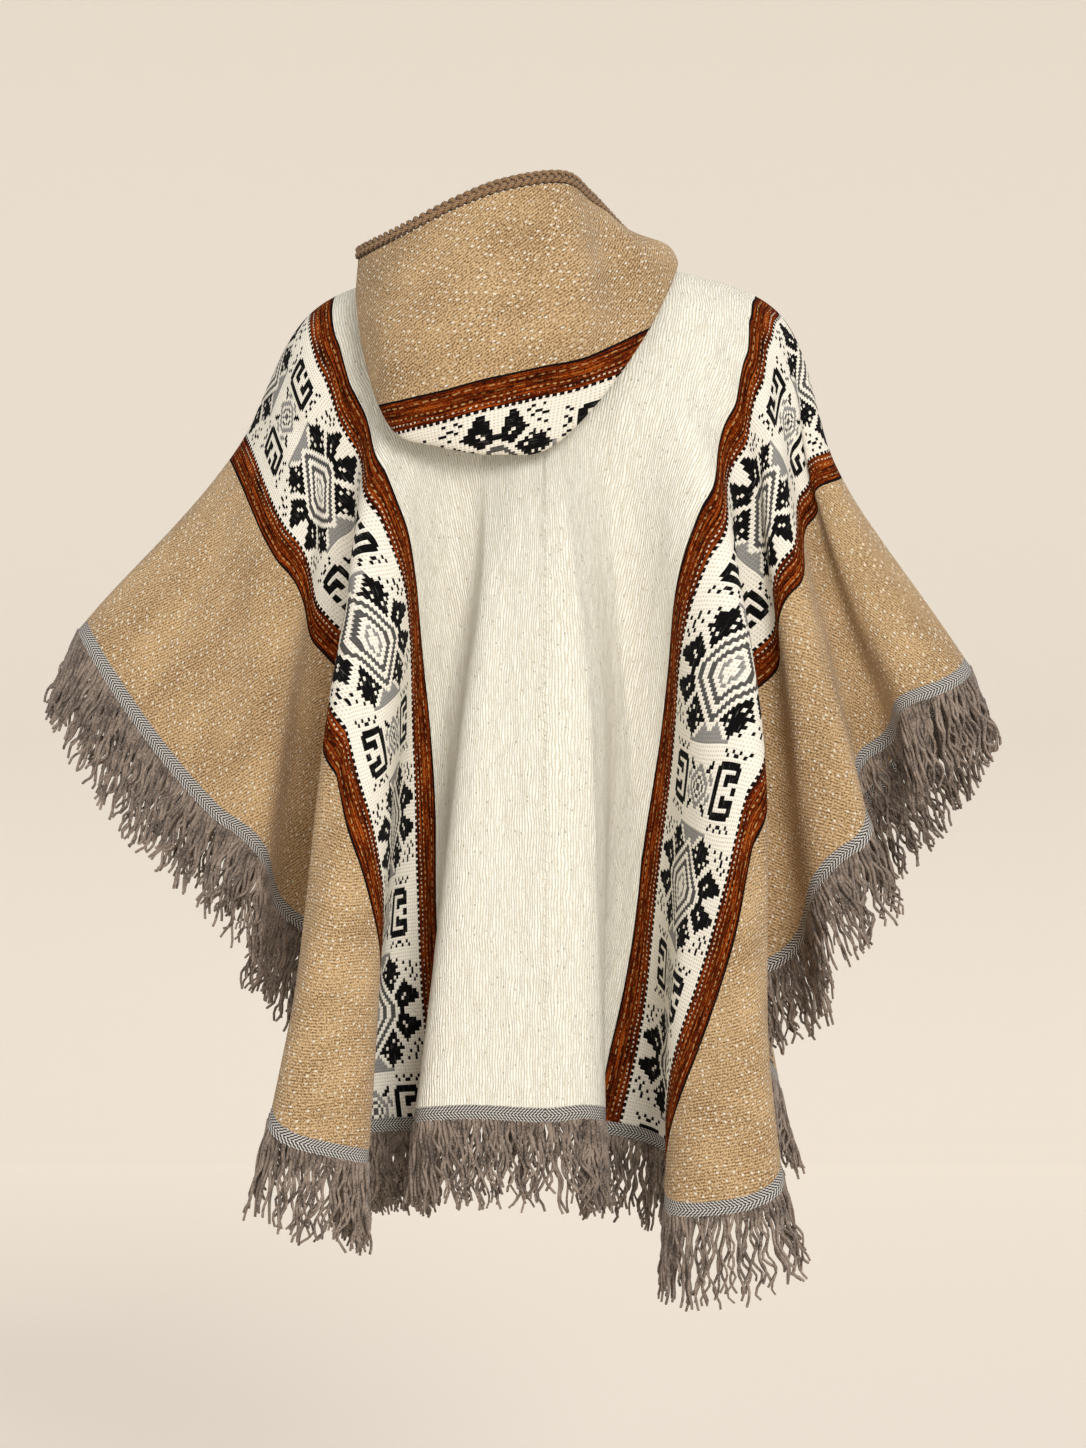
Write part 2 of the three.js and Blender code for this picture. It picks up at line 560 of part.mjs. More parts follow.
// ---- The object ------------------------------------------------------------------------------------
const CREAM_WOOL = new THREE.MeshStandardMaterial({ color: 0xe9e2d0, roughness: 0.95, metalness: 0 });
const TAN_WOOL = new THREE.MeshStandardMaterial({ color: 0xb4966b, roughness: 0.95, metalness: 0 });
const BRAID_WOOL = new THREE.MeshStandardMaterial({ color: 0x8a6a47, roughness: 0.9, metalness: 0 });
const FRINGE_WOOL = new THREE.MeshStandardMaterial({ color: 0x8b7f76, roughness: 0.95, metalness: 0 });

function piece(name, geometry, material) {
  const mesh = new THREE.Mesh(geometry, material);
  mesh.name = name;
  return mesh;
}

const poncho = new THREE.Group();
poncho.add(
  piece("back_left", bodyGeometry(LEFT, BACK), CREAM_WOOL),
  piece("back_right", bodyGeometry(RIGHT, BACK), CREAM_WOOL),
  piece("front_left", bodyGeometry(LEFT, FACE_FRONT), CREAM_WOOL),
  piece("front_right", bodyGeometry(RIGHT, FACE_FRONT), CREAM_WOOL),
  piece("hood", hoodGeometry(), TAN_WOOL),
  piece("hood_braid", braidGeometry(), BRAID_WOOL),
  piece("fringe_left", fringeGeometry(LEFT), FRINGE_WOOL),
  piece("fringe_right", fringeGeometry(RIGHT), FRINGE_WOOL),
);
export default poncho;
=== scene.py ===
# %% [markdown]
# # A hooded wool poncho
# This lesson dresses a plain model of a hooded poncho with real-looking cloth. The blanket is woven in two
# halves and sewn down the centre. Each half has a natural white centre, a rust stripe, a patterned band, a
# second rust stripe and a tan side. A hood hangs down the back, with a plaited cord round its mouth, and a
# fringed tape runs round the hem. The model is in metres: +Z is up and the back of the poncho faces -Y.

# %% Start: load the plain model
import math

import bmesh
import bpy
import numpy as np
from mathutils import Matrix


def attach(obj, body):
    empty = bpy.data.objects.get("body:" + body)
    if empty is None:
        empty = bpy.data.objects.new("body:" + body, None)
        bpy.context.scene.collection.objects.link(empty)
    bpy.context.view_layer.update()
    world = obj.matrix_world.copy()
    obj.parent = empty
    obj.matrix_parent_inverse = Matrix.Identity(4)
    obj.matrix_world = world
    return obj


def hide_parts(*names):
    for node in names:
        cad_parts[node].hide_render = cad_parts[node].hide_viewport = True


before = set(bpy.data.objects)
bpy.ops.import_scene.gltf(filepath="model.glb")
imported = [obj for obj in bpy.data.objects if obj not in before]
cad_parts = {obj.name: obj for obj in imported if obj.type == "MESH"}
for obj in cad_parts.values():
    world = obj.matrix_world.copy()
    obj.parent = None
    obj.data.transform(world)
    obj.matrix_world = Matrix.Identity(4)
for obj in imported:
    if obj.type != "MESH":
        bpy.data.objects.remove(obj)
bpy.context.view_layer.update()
MM = 0.001

# %% [markdown]
# ## The camera
# A long lens far away keeps the garment's shape honest. The camera stands 3.6 m behind the poncho, level
# with its middle. A vertical sensor fit ties the picture's height to the lens, whatever the picture's width.

# %% Camera
camera = bpy.data.objects.new("Camera", bpy.data.cameras.new("Camera"))
bpy.context.scene.collection.objects.link(camera)
camera.data.sensor_fit = "VERTICAL"
FAR, SEEN_HEIGHT, SENSOR = 3.6, 1.448, 36
camera.data.sensor_height = SENSOR
camera.data.lens = SENSOR * FAR / SEEN_HEIGHT
camera.location = (-0.002, -FAR, -0.454)
camera.rotation_euler = (math.pi / 2, 0, 0)
bpy.context.scene.camera = camera
print("lens", round(camera.data.lens, 1), "mm")

# %% [markdown]
# ## The flat cut
# Before it is worn, the blanket is flat: a rectangle with round corners and an oval neck hole. Weavers' marks
# are easy to place in the flat, so every stripe and motif is given there, in millimetres. `x` is the distance
# from the centre seam, and `v` is the distance down the back (+) or the front (-) from the shoulder line.
# `at` is how far along the cut edge a place lies, counted from the centre line.

# %% The flat cut's numbers
HALF_WIDTH, HALF_LENGTH, CORNER = 635, 916, 260
STRAIGHT_END = HALF_WIDTH - CORNER
ARC_END = STRAIGHT_END + CORNER * math.pi / 2
QUARTER = ARC_END + HALF_LENGTH - CORNER
FLAT_LENGTH = 2 * HALF_LENGTH
NECK_WIDE, NECK_DEEP = 100, 78
WALL = 3
STRIPES = {
    "white": (0, 214),
    "inner_rust": (214, 246),
    "band": (246, 385),
    "outer_rust": (385, 417),
    "tan": (417, 635),
}
print("cut edge of one quarter:", round(QUARTER), "mm")


# %% From the flat cut to its edge, and back
def cut_edge(at):
    """The point of the cut edge at a distance from the centre line: x outwards, y down the cloth."""
    turn = np.clip((at - STRAIGHT_END) / CORNER, 0, math.pi / 2)
    x = np.where(at <= STRAIGHT_END, at, STRAIGHT_END + CORNER * np.sin(turn))
    y = HALF_LENGTH - CORNER + CORNER * np.cos(turn) - np.maximum(at - ARC_END, 0)
    return x, y


def neck_radius(angle):
    return 1 / np.hypot(np.sin(angle) / NECK_WIDE, np.cos(angle) / NECK_DEEP)


def flat_to_line(x, y):
    """Which line of cloth a flat place is on, from neck to hem, and its share of the way down it."""
    r = np.maximum(np.hypot(x, y), 1e-6)
    out, along = x / r, y / r
    edge = np.minimum(HALF_WIDTH / np.maximum(out, 1e-9), HALF_LENGTH / np.maximum(along, 1e-9))
    centre_x, centre_y = STRAIGHT_END, HALF_LENGTH - CORNER
    reach = out * centre_x + along * centre_y
    beyond = centre_x**2 + centre_y**2 - CORNER**2
    in_corner = (edge * out > centre_x) & (edge * along > centre_y)
    edge = np.where(in_corner, reach + np.sqrt(np.maximum(reach**2 - beyond, 0)), edge)
    edge_x, edge_y = edge * out, edge * along
    on_arc = STRAIGHT_END + CORNER * np.arctan2(edge_x - centre_x, edge_y - centre_y)
    on_side = ARC_END + centre_y - edge_y
    at = np.where(in_corner, on_arc, np.where(edge_y > centre_y, edge_x, on_side))
    neck = neck_radius(np.arctan2(x, y))
    return at, np.clip((r - neck) / (edge - neck), 0, 1)


# %% [markdown]
# ## How the cloth hangs
# A blanket on shoulders falls in deep folds. The plain model draws each fold as a curve between a few named
# places at the hem and half way down, and runs each line of cloth smoothly from the neck over the shoulder
# to them. The same recipe is repeated here with many more lines, so the cloth lands on the plain model.

# %% The folds: at, head, swing, x, deep, z at the hem, then at, x, deep half way down
BACK_LEFT = np.array([
    (0, 0, 100, 0, 205, -816, 0, 0, 170),  # centre
    (100, 4, 250, 90, 202, -814, 120, 58, 172),  # bulge
    (288, 0, 420, 142, 80, -838, 345, 98, 106),  # valley
    (600, 0, 360, 218, 262, -838, 680, 180, 196),  # tube
    (935, 0, 240, 224, 32, -652, 905, 206, 72),  # pocket
    (1130, 17, 220, 310, 92, -540, 1110, 250, 92),  # wing
    (QUARTER, 90, 0, 456, 0, -350, QUARTER, 307, 0),  # tip
])
BACK_RIGHT = np.array([
    (0, 0, 50, 0, 205, -816, 0, 0, 170),  # centre
    (48, 30, 150, 42, 196, -814, 70, 42, 164),  # bulge
    (232, 0, 440, 62, 80, -842, 300, 80, 106),  # valley
    (520, 0, 400, 176, 262, -894, 620, 180, 196),  # tube
    (890, 0, 230, 212, 32, -690, 870, 211, 68),  # pocket
    (1060, 10, 110, 298, 100, -566, 1050, 238, 98),  # wing
    (1175, 10, 150, 318, 36, -474, 1175, 258, 58),  # step
    (1310, 10, 150, 366, 84, -418, 1310, 274, 66),  # outer wing
    (QUARTER, 90, 0, 414, 0, -385, QUARTER, 285, 0),  # tip
])
FRONT = np.array([
    (0, 0, 110, 0, 196, -836, 0, 0, 162),  # centre
    (100, 8, 220, 90, 190, -836, 120, 62, 162),  # bulge
    (276, 0, 380, 140, 80, -852, 330, 100, 106),  # valley
    (570, 0, 350, 212, 250, -862, 650, 176, 192),  # tube
    (905, 0, 240, 220, 32, -676, 890, 203, 72),  # pocket
    (1110, 17, 210, 304, 96, -548, 1100, 246, 94),  # wing
])
AT, HEAD, SWING, X, DEEP, Z, MID_AT, MID_X, MID_DEEP = range(9)
MID_DROP = 0.45
LEFT, RIGHT, BACK, TO_FRONT = -1, 1, -1, 1
FOLDS = {
    (LEFT, BACK): BACK_LEFT,
    (RIGHT, BACK): BACK_RIGHT,
    (LEFT, TO_FRONT): np.vstack([FRONT, BACK_LEFT[-1]]),
    (RIGHT, TO_FRONT): np.vstack([FRONT, BACK_RIGHT[-1]]),
}


# %% Curves through the folds
def hermite(a, b, slope_a, slope_b, t):
    t2, t3 = t * t, t * t * t
    from_a = a * (2 * t3 - 3 * t2 + 1) + slope_a * (t3 - 2 * t2 + t)
    return from_a + b * (3 * t2 - 2 * t3) + slope_b * (t3 - t2)


def shares_along(points):
    """For each point of a line, its share of the line's length."""
    steps = np.linalg.norm(np.diff(points, axis=0), axis=1)
    total = np.concatenate([[0], np.cumsum(steps)])
    return total / total[-1]


def section(rows, at, middle):
    """The points where lines of cloth cross the hem, or the middle section, of one quarter."""
    key, x_key, deep_key = (MID_AT, MID_X, MID_DEEP) if middle else (AT, X, DEEP)
    z_slope = np.zeros(len(rows))
    z_slope[1:-1] = (rows[2:, Z] - rows[:-2, Z]) / (rows[2:, AT] - rows[:-2, AT])
    found = np.zeros((len(at), 3))
    t = np.linspace(0, 1, 41)
    for i in range(len(rows) - 1):
        a, b = rows[i], rows[i + 1]
        swing = a[SWING] * (MID_DROP if middle else 1)
        head_a, head_b = math.radians(a[HEAD]), math.radians(b[HEAD])
        span = b[AT] - a[AT]
        curve = np.stack([
            hermite(a[x_key], b[x_key], swing * math.cos(head_a), swing * math.cos(head_b), t),
            hermite(a[deep_key], b[deep_key], -swing * math.sin(head_a), -swing * math.sin(head_b), t),
            hermite(a[Z], b[Z], z_slope[i] * span, z_slope[i + 1] * span, t),
        ], axis=1)
        mine = (at >= a[key]) & (at <= b[key])
        share = (at[mine] - a[key]) / (b[key] - a[key])
        found[mine] = np.stack([np.interp(share, shares_along(curve), curve[:, k]) for k in range(3)], axis=1)
    return found


def smooth_lines(stops, steps):
    """Smooth curves through the stops of many lines at once: stops is lines x stops x 3."""
    knots = np.linalg.norm(np.diff(stops, axis=1), axis=2)[..., None]
    secant = np.diff(stops, axis=1) / knots
    slope = np.empty_like(stops)
    slope[:, 0], slope[:, -1] = secant[:, 0], secant[:, -1]
    before, after = knots[:, :-1], knots[:, 1:]
    slope[:, 1:-1] = (secant[:, :-1] * after + secant[:, 1:] * before) / (before + after)
    parts = [stops[:, :1]]
    t = (np.arange(1, steps + 1) / steps)[None, :, None]
    for i in range(stops.shape[1] - 1):
        width = knots[:, i][:, None]
        ends = [p[:, None] for p in (stops[:, i], stops[:, i + 1], slope[:, i], slope[:, i + 1])]
        parts.append(hermite(ends[0], ends[1], ends[2] * width, ends[3] * width, t))
    return np.concatenate(parts, axis=1)


# %% One table of hanging places for each half of the blanket
LINES, STEPS_DOWN = 641, 221
NECK_SIDE_RISE, BACK_DIP, FRONT_DIP = 6, -8, -38
SHOULDER_WIDE, SHOULDER_DEEP, SHOULDER_LOW, SHOULDER_RISE = 228, 112, -112, 70


def neck_height(face, out, deep):
    """How high the neck's edge lies: it rises at the sides, and dips at the back and further at the front."""
    return NECK_SIDE_RISE * out**2 + np.where(face == BACK, BACK_DIP, FRONT_DIP) * deep**2


def hanging_quarter(side, face):
    at = np.linspace(0, QUARTER, LINES)
    edge_x, edge_y = cut_edge(at)
    angle = np.arctan2(edge_x, edge_y)
    out, deep = np.sin(angle), np.maximum(np.cos(angle), 0)
    radius = neck_radius(angle)
    neck = np.stack([side * radius * out, face * radius * deep, neck_height(face, out, deep)], 1)
    shoulder_z = SHOULDER_LOW + SHOULDER_RISE * out**4
    shoulder = np.stack([side * SHOULDER_WIDE * out**1.4, face * SHOULDER_DEEP * deep**0.63, shoulder_z], 1)
    hem, middle = (section(FOLDS[side, face], at, m) for m in (False, True))
    middle[:, 2] = shoulder[:, 2] + MID_DROP * (hem[:, 2] - shoulder[:, 2])
    turned = np.array([side, face, 1])
    lines = smooth_lines(np.stack([neck, shoulder, middle * turned, hem * turned], 1), 60)
    even = np.linspace(0, 1, STEPS_DOWN)
    return np.stack([
        np.stack([np.interp(even, shares_along(line), line[:, k]) for k in range(3)], 1) for line in lines
    ])


HANG = {}
for side in (LEFT, RIGHT):
    back, front = hanging_quarter(side, BACK), hanging_quarter(side, TO_FRONT)
    HANG[side] = np.concatenate([back, front[::-1][1:]])
print("hanging tables:", HANG[LEFT].shape)


# %% The way the cloth faces, and small creases
def unit(vectors):
    return vectors / np.maximum(np.linalg.norm(vectors, axis=-1, keepdims=True), 1e-9)


FACING = {
    side: unit(-side * np.cross(np.gradient(table, axis=0), np.gradient(table, axis=1)))
    for side, table in HANG.items()
}

# Each crease runs from one flat place to another: x, v, x, v, half-width, height. A trough is below zero.
CREASES = {
    LEFT: [
        (120, 120, 60, 520, 16, 3), (60, 260, 30, 800, 20, -3), (205, 300, 150, 760, 14, 3),
        (300, 60, 330, 420, 18, -3), (430, 90, 620, 150, 14, -3), (420, 160, 600, 330, 16, 3),
        (470, 30, 630, 20, 12, 2), (360, 520, 300, 880, 16, 2),
        (90, -160, 120, -640, 18, 3), (240, -120, 200, -560, 16, -3), (430, -120, 610, -230, 15, -3),
    ],
    RIGHT: [
        (90, 110, 120, 430, 17, 3), (40, 330, 70, 820, 18, -3), (190, 260, 160, 700, 15, 2),
        (280, 70, 300, 380, 16, -3), (430, 110, 610, 190, 15, 3), (440, 210, 600, 420, 16, -3),
        (460, 40, 630, 50, 12, 2), (330, 560, 380, 880, 15, 2),
        (70, -200, 40, -700, 18, -3), (230, -140, 260, -520, 15, 3), (440, -90, 620, -170, 14, -2),
    ],
}


def crease_sum(creases, x, v):
    total = np.zeros_like(x)
    for x0, v0, x1, v1, half_width, height in creases:
        run = np.array([x1 - x0, v1 - v0])
        share = ((x - x0) * run[0] + (v - v0) * run[1]) / (run @ run)
        held = np.clip(share, 0, 1)
        away = np.hypot(x - x0 - held * run[0], v - v0 - held * run[1])
        swell = np.sin(np.pi * np.clip(share, 0.02, 0.98)) ** 0.5
        total += height * np.exp(-((away / half_width) ** 2)) * swell
    return total


# %% From a flat place to its place in the air
SEAM_CLEAR = 0.03  # each half stays so far from the centre seam


def look_up(table, i, j):
    """The table's value between four of its points."""
    i = np.clip(i, 0, table.shape[0] - 1.001)
    j = np.clip(j, 0, table.shape[1] - 1.001)
    i0, j0 = i.astype(int), j.astype(int)
    a, b = (i - i0)[:, None], (j - j0)[:, None]
    near = table[i0, j0] * (1 - b) + table[i0, j0 + 1] * b
    far = table[i0 + 1, j0] * (1 - b) + table[i0 + 1, j0 + 1] * b
    return near * (1 - a) + far * a


def table_place(around, down):
    """Where in a hanging table a place is: around the hem in millimetres, and a share of the way down."""
    return around / (2 * QUARTER) * (2 * LINES - 2), down * (STEPS_DOWN - 1)


def facing_at(side, x, v):
    at, down = flat_to_line(x, np.abs(v))
    i, j = table_place(np.where(v >= 0, at, 2 * QUARTER - at), down)
    return unit(look_up(FACING[side], i, j)), look_up(HANG[side], i, j)


def hang(side, x, v):
    facing, place = facing_at(side, x, v)
    place += facing * crease_sum(CREASES[side], x, v)[:, None]
    place[:, 0] = side * np.maximum(side * place[:, 0], SEAM_CLEAR)
    return place


# %% [markdown]
# ## Making a sheet
# A sheet of cloth starts as a flat grid. Each of its points moves to where the cloth hangs, and remembers its
# flat place in a UV map, so that weave and stripes follow the cloth. A Solidify modifier gives the thickness.

# %% Helper: grids that are moved into place
WELD = 0.00002  # metres


def moved_grid(shape, columns, rows, place):
    """Adds a grid, its points moved to place(s, t), with s and t from 0 to 1. Gives the flat places."""
    made = bmesh.ops.create_grid(shape, x_segments=columns, y_segments=rows, size=0.5)["verts"]
    share = np.array([vertex.co[:2] for vertex in made]) + 0.5
    points, flat = place(share[:, 0], share[:, 1])
    for vertex, point in zip(made, points * MM):
        vertex.co = point
    return flat * MM


def finish_piece(name, shape, flat, material):
    """Makes an object of the bmesh, with each point's flat place as its UV map."""
    keep = shape.verts.layers.float_vector.new("flat")
    for vertex, (u, v) in zip(shape.verts, flat):
        vertex[keep] = (u, v, 0)
    uv = shape.loops.layers.uv.new("flat")
    for face in shape.faces:
        for loop in face.loops:
            loop[uv].uv = loop.vert[keep][:2]
        face.smooth = True
    bmesh.ops.remove_doubles(shape, verts=shape.verts[:], dist=WELD)
    for edge in shape.edges:
        edge.smooth = not edge.is_boundary
    shape.verts.layers.float_vector.remove(shape.verts.layers.float_vector["flat"])
    mesh = bpy.data.meshes.new(name)
    shape.to_mesh(mesh)
    shape.free()
    mesh.materials.append(material)
    piece = bpy.data.objects.new(name, mesh)
    bpy.context.scene.collection.objects.link(piece)
    return piece


def thicken(piece, thickness):
    wall = piece.modifiers.new("Thickness", "SOLIDIFY")
    wall.thickness = thickness * MM
    wall.offset = 0
    return piece


def join_frame(piece, slot, *nodes):
    """The piece rides with the plain model and stands for its nodes, which it hides. The slot is not used."""
    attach(piece, "root")
    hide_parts(*nodes)
    return piece


# %% [markdown]
# ## Finishes
# Wool is matt, with a soft sheen from its loose fibres. Each finish below is a small recipe of nodes on that
# base. They read the UV map in millimetres, so a rib or a fleck has its real size and follows the folds.

# %% Helper: a finish under construction
def wool_colour(red, green, blue):
    """A colour as a paint program gives it, 0 to 255, made linear for the shader."""
    shares = (red / 255, green / 255, blue / 255)
    return tuple(((c + 0.055) / 1.055) ** 2.4 if c > 10 / 255 else c / 12.92 for c in shares) + (1,)


class Finish:
    def __init__(self, name, roughness=0.92, sheen=0.12, shine=0.15):
        self.material = bpy.data.materials.new(name)
        self.material.use_nodes = True
        self.tree = self.material.node_tree
        self.shader = self.tree.nodes["Principled BSDF"]
        self.shader.inputs["Roughness"].default_value = roughness
        self.shader.inputs["Specular IOR Level"].default_value = shine
        self.shader.inputs["Sheen Weight"].default_value = sheen
        self.shader.inputs["Sheen Roughness"].default_value = 0.6

    def node(self, kind, **settings):
        made = self.tree.nodes.new(kind)
        for key, value in settings.items():
            setattr(made, key, value)
        return made

    def feed(self, socket, value):
        if isinstance(value, bpy.types.NodeSocket):
            self.tree.links.new(value, socket)
        else:
            socket.default_value = value

    def math(self, operation, a, b=0.0, c=0.0):
        made = self.node("ShaderNodeMath", operation=operation)
        for socket, value in zip(made.inputs, (a, b, c)):
            self.feed(socket, value)
        return made.outputs[0]

    def times(self, a, b):
        return self.math("MULTIPLY", a, b)

    def plus(self, a, b):
        return self.math("ADD", a, b)

    def times_plus(self, a, b, c):
        return self.math("MULTIPLY_ADD", a, b, c)

    def flat(self):
        """The piece's flat place in millimetres, and its two parts."""
        uv = self.node("ShaderNodeUVMap", uv_map="flat")
        place = self.sized(uv.outputs[0], (1000, 1000, 1))
        parts = self.node("ShaderNodeSeparateXYZ")
        self.feed(parts.inputs[0], place)
        return place, parts.outputs[0], parts.outputs[1]

    def solid_place(self):
        return self.sized(self.node("ShaderNodeTexCoord").outputs["Object"], (1000, 1000, 1000))

    def sized(self, vector, scale, turn=0.0):
        made = self.node("ShaderNodeMapping")
        made.inputs["Scale"].default_value = scale
        made.inputs["Rotation"].default_value[2] = math.radians(turn)
        self.feed(made.inputs["Vector"], vector)
        return made.outputs[0]

    def noise(self, vector, scale, detail=2.0):
        made = self.node("ShaderNodeTexNoise")
        made.inputs["Scale"].default_value = scale
        made.inputs["Detail"].default_value = detail
        self.feed(made.inputs["Vector"], vector)
        return made.outputs[0]

    def grain(self, place, across, along, detail=2.0, turn=0.0):
        """Noise on the flat cloth, so many waves a millimetre across and along it."""
        return self.noise(self.sized(place, (across, along, 1), turn), 1, detail)

    def cells(self, vector, randomness=1.0):
        """Distance to the nearest spot, and that spot's own chance."""
        made = self.node("ShaderNodeTexVoronoi", voronoi_dimensions="2D")
        made.inputs["Scale"].default_value = 1
        made.inputs["Randomness"].default_value = randomness
        self.feed(made.inputs["Vector"], vector)
        chance = self.node("ShaderNodeSeparateColor")
        self.feed(chance.inputs[0], made.outputs["Color"])
        return made.outputs["Distance"], chance.outputs[0]

    def ramp(self, value, low, high, soft=True):
        made = self.node("ShaderNodeMapRange", interpolation_type="SMOOTHSTEP" if soft else "LINEAR")
        for name, number in (("From Min", low), ("From Max", high)):
            made.inputs[name].default_value = number
        self.feed(made.inputs["Value"], value)
        return made.outputs[0]

    def wave(self, value, period, phase=0.0):
        """0 to 1 and back over each period."""
        turn = self.times_plus(value, 2 * math.pi / period, phase)
        return self.times_plus(self.math("SINE", turn), 0.5, 0.5)

    def mix(self, factor, a, b, blend="MIX"):
        made = self.node("ShaderNodeMix", data_type="RGBA", blend_type=blend)
        for socket, value in zip((made.inputs[0], made.inputs[6], made.inputs[7]), (factor, a, b)):
            self.feed(socket, value)
        return made.outputs[2]

    def done(self, colour, height, depth):
        """Gives the shader its colour, and a bump of so many millimetres."""
        self.feed(self.shader.inputs["Base Color"], colour)
        bump = self.node("ShaderNodeBump")
        bump.inputs["Distance"].default_value = depth * MM
        self.feed(bump.inputs["Height"], height)
        self.feed(self.shader.inputs["Normal"], bump.outputs[0])
        return self.material


# %% [markdown]
# ## Natural white wool
# The centre is undyed wool. Thick warp yarns make soft ribs down the cloth, about 3 mm apart, and hand-spun
# yarn is uneven, so the ribs waver, swell and carry a few dark fibres.

# %% Natural white wool
def make_white_wool():
    finish = Finish("natural_white_wool")
    place, u, v = finish.flat()
    waver = finish.grain(place, 0.06, 0.03)
    slub = finish.grain(place, 0.5, 0.09, 3)
    rib = finish.wave(finish.times_plus(waver, 6, finish.times_plus(slub, 2.4, u)), 2.8)
    weft = finish.grain(place, 0.35, 1.1, 2)
    fibre = finish.grain(place, 2.2, 0.5, 3)
    height = finish.plus(finish.times(rib, 0.7), finish.times_plus(slub, 0.7, weft))
    # The grooves between the ribs are painted darker as shade; the fibre noise adds the yarn's own uneven tone.
    tone = finish.ramp(finish.times_plus(rib, 0.55, finish.times(fibre, 0.75)), 0.3, 0.72)
    colour = finish.mix(tone, wool_colour(214, 202, 172), wool_colour(253, 250, 238))
    spot, chance = finish.cells(finish.sized(place, (0.16, 0.1, 1)))
    fleck = finish.times(finish.ramp(spot, 0.17, 0.08), finish.ramp(chance, 0.82, 0.92))
    colour = finish.mix(finish.times(fleck, 0.6), colour, wool_colour(150, 136, 112))
    return finish.done(colour, height, 1.1)


WHITE_WOOL = make_white_wool()


# %% [markdown]
# ## Rust stripes
# The rust yarn is dyed unevenly, so bright and dark lines run along the stripe. Rows of pale running stitches
# follow it and waver a little. A smooth black line closes its plain side, and its other edge is white with
# small black teeth. `u` is the distance from the plain side.

# %% Rust stripe
def make_rust_wool():
    finish = Finish("rust_stripe_wool", sheen=0.0, shine=0.05)
    place, u, v = finish.flat()
    streak = finish.grain(place, 0.5, 0.022, 4)
    grain = finish.grain(place, 0.9, 0.35, 3)
    tone = finish.times_plus(grain, 0.6, finish.times(streak, 0.9))
    colour = finish.mix(finish.ramp(tone, 0.64, 0.8), wool_colour(40, 11, 2), wool_colour(108, 38, 5))
    colour = finish.mix(finish.ramp(tone, 0.79, 0.92), colour, wool_colour(172, 82, 22))
    for middle, every, part, strength, pale in (  # where, stitch spacing, thread's share, how clear, colour
        (7.5, 9.0, 0.72, 0.75, (190, 148, 92)),
        (13.5, 17.0, 0.6, 0.4, (176, 120, 56)),
        (19.0, 6.1, 0.45, 0.75, (200, 162, 104)),
        (24.6, 4.6, 0.42, 0.85, (232, 218, 190)),
    ):
        drift = finish.times_plus(finish.grain(place, 0.03, 0.07), 4.0, middle - 2)
        off = finish.math("ABSOLUTE", finish.math("SUBTRACT", u, drift))
        on_line = finish.ramp(off, 1.0, 0.5)
        on_stitch = finish.ramp(finish.wave(v, every, middle), 1 - part - 0.08, 1 - part + 0.08)
        worn = finish.ramp(finish.grain(place, 0.1, 0.12), 0.38, 0.5)
        mask = finish.times(finish.times(on_line, on_stitch), worn)
        colour = finish.mix(finish.times(mask, strength), colour, wool_colour(*pale))
    white_from, teeth_from, tooth_spacing = 29.4, 28.8, 6.4
    colour = finish.mix(finish.math("GREATER_THAN", u, white_from), colour, wool_colour(242, 236, 222))
    tooth = finish.ramp(finish.wave(v, tooth_spacing), 0.22, 0.32)
    tooth = finish.times(tooth, finish.math("GREATER_THAN", u, teeth_from))
    black = finish.math("MAXIMUM", finish.ramp(u, 2.5, 1.9), tooth)
    colour = finish.mix(black, colour, wool_colour(20, 15, 14))
    weave = finish.times(finish.wave(u, 2.0), finish.wave(v, 2.6))
    return finish.done(colour, finish.plus(weave, grain), 0.6)


RUST_WOOL = make_rust_wool()


# %% [markdown]
# ## The patterned band
# A weaver works such a pattern from a chart, one square to a bundle of threads. The chart below is a quarter
# of one repeat: the first row runs across the middle of a large stepped diamond, the last row comes next to
# the middle of a small one with hooks. Mirrored both ways it fills the band. Each square is about 3 mm wide
# and 3.6 mm high, and colours one face of the band's grid.

# %% The chart: . natural white, - mid grey, o dark grey, # black
CHART = """
..-..oo..oo..##........
.--..oo..oo.#####......
.-..oo..oo..########...
-..oo..oo..###.#######.
..oo..oo...####.######.
.oo..oo..#..#########..
oo..oo..###..######....
o..oo..####...###......
..oo..###.##...#....#..
.oo..######.#.....#..#.
oo..##.#######.....#...
o..#########....#..#...
..-..#.######.....#..#.
.---..######...#..#....
-----..###..#..........
------..#..............
---------..............
.......................
.........#..#..#..#....
..........#..##..#.....
.......................
.....#...########......
-...##..##########.....
--.##...##......##.....
.--..-..##..######.....
o.--.--.##..######.....
.o.--.-.##..##.........
o.o.-...##......##.....
""".split()
THREADS = {".": (242, 236, 222), "-": (146, 144, 140), "o": (86, 84, 82), "#": (14, 13, 13)}
CHART_THREADS = np.array([[list(THREADS).index(mark) for mark in row] for row in CHART])
BAND_ROWS, BAND_COLUMNS = 513, 46
SQUARE = FLAT_LENGTH / BAND_ROWS
print("one repeat:", 2 * len(CHART[0]), "x", 2 * len(CHART), "squares,", round(2 * len(CHART) * SQUARE), "mm")


def charted(across, along):
    """The thread at each square: across from one edge of the band, along from the shoulder line."""
    half, repeat = len(CHART[0]), 2 * len(CHART)
    column = np.clip(np.where(across >= half, across - half, half - 1 - across), 0, half - 1)
    row = along % repeat
    return CHART_THREADS[np.where(row < len(CHART), row, repeat - 1 - row), column]


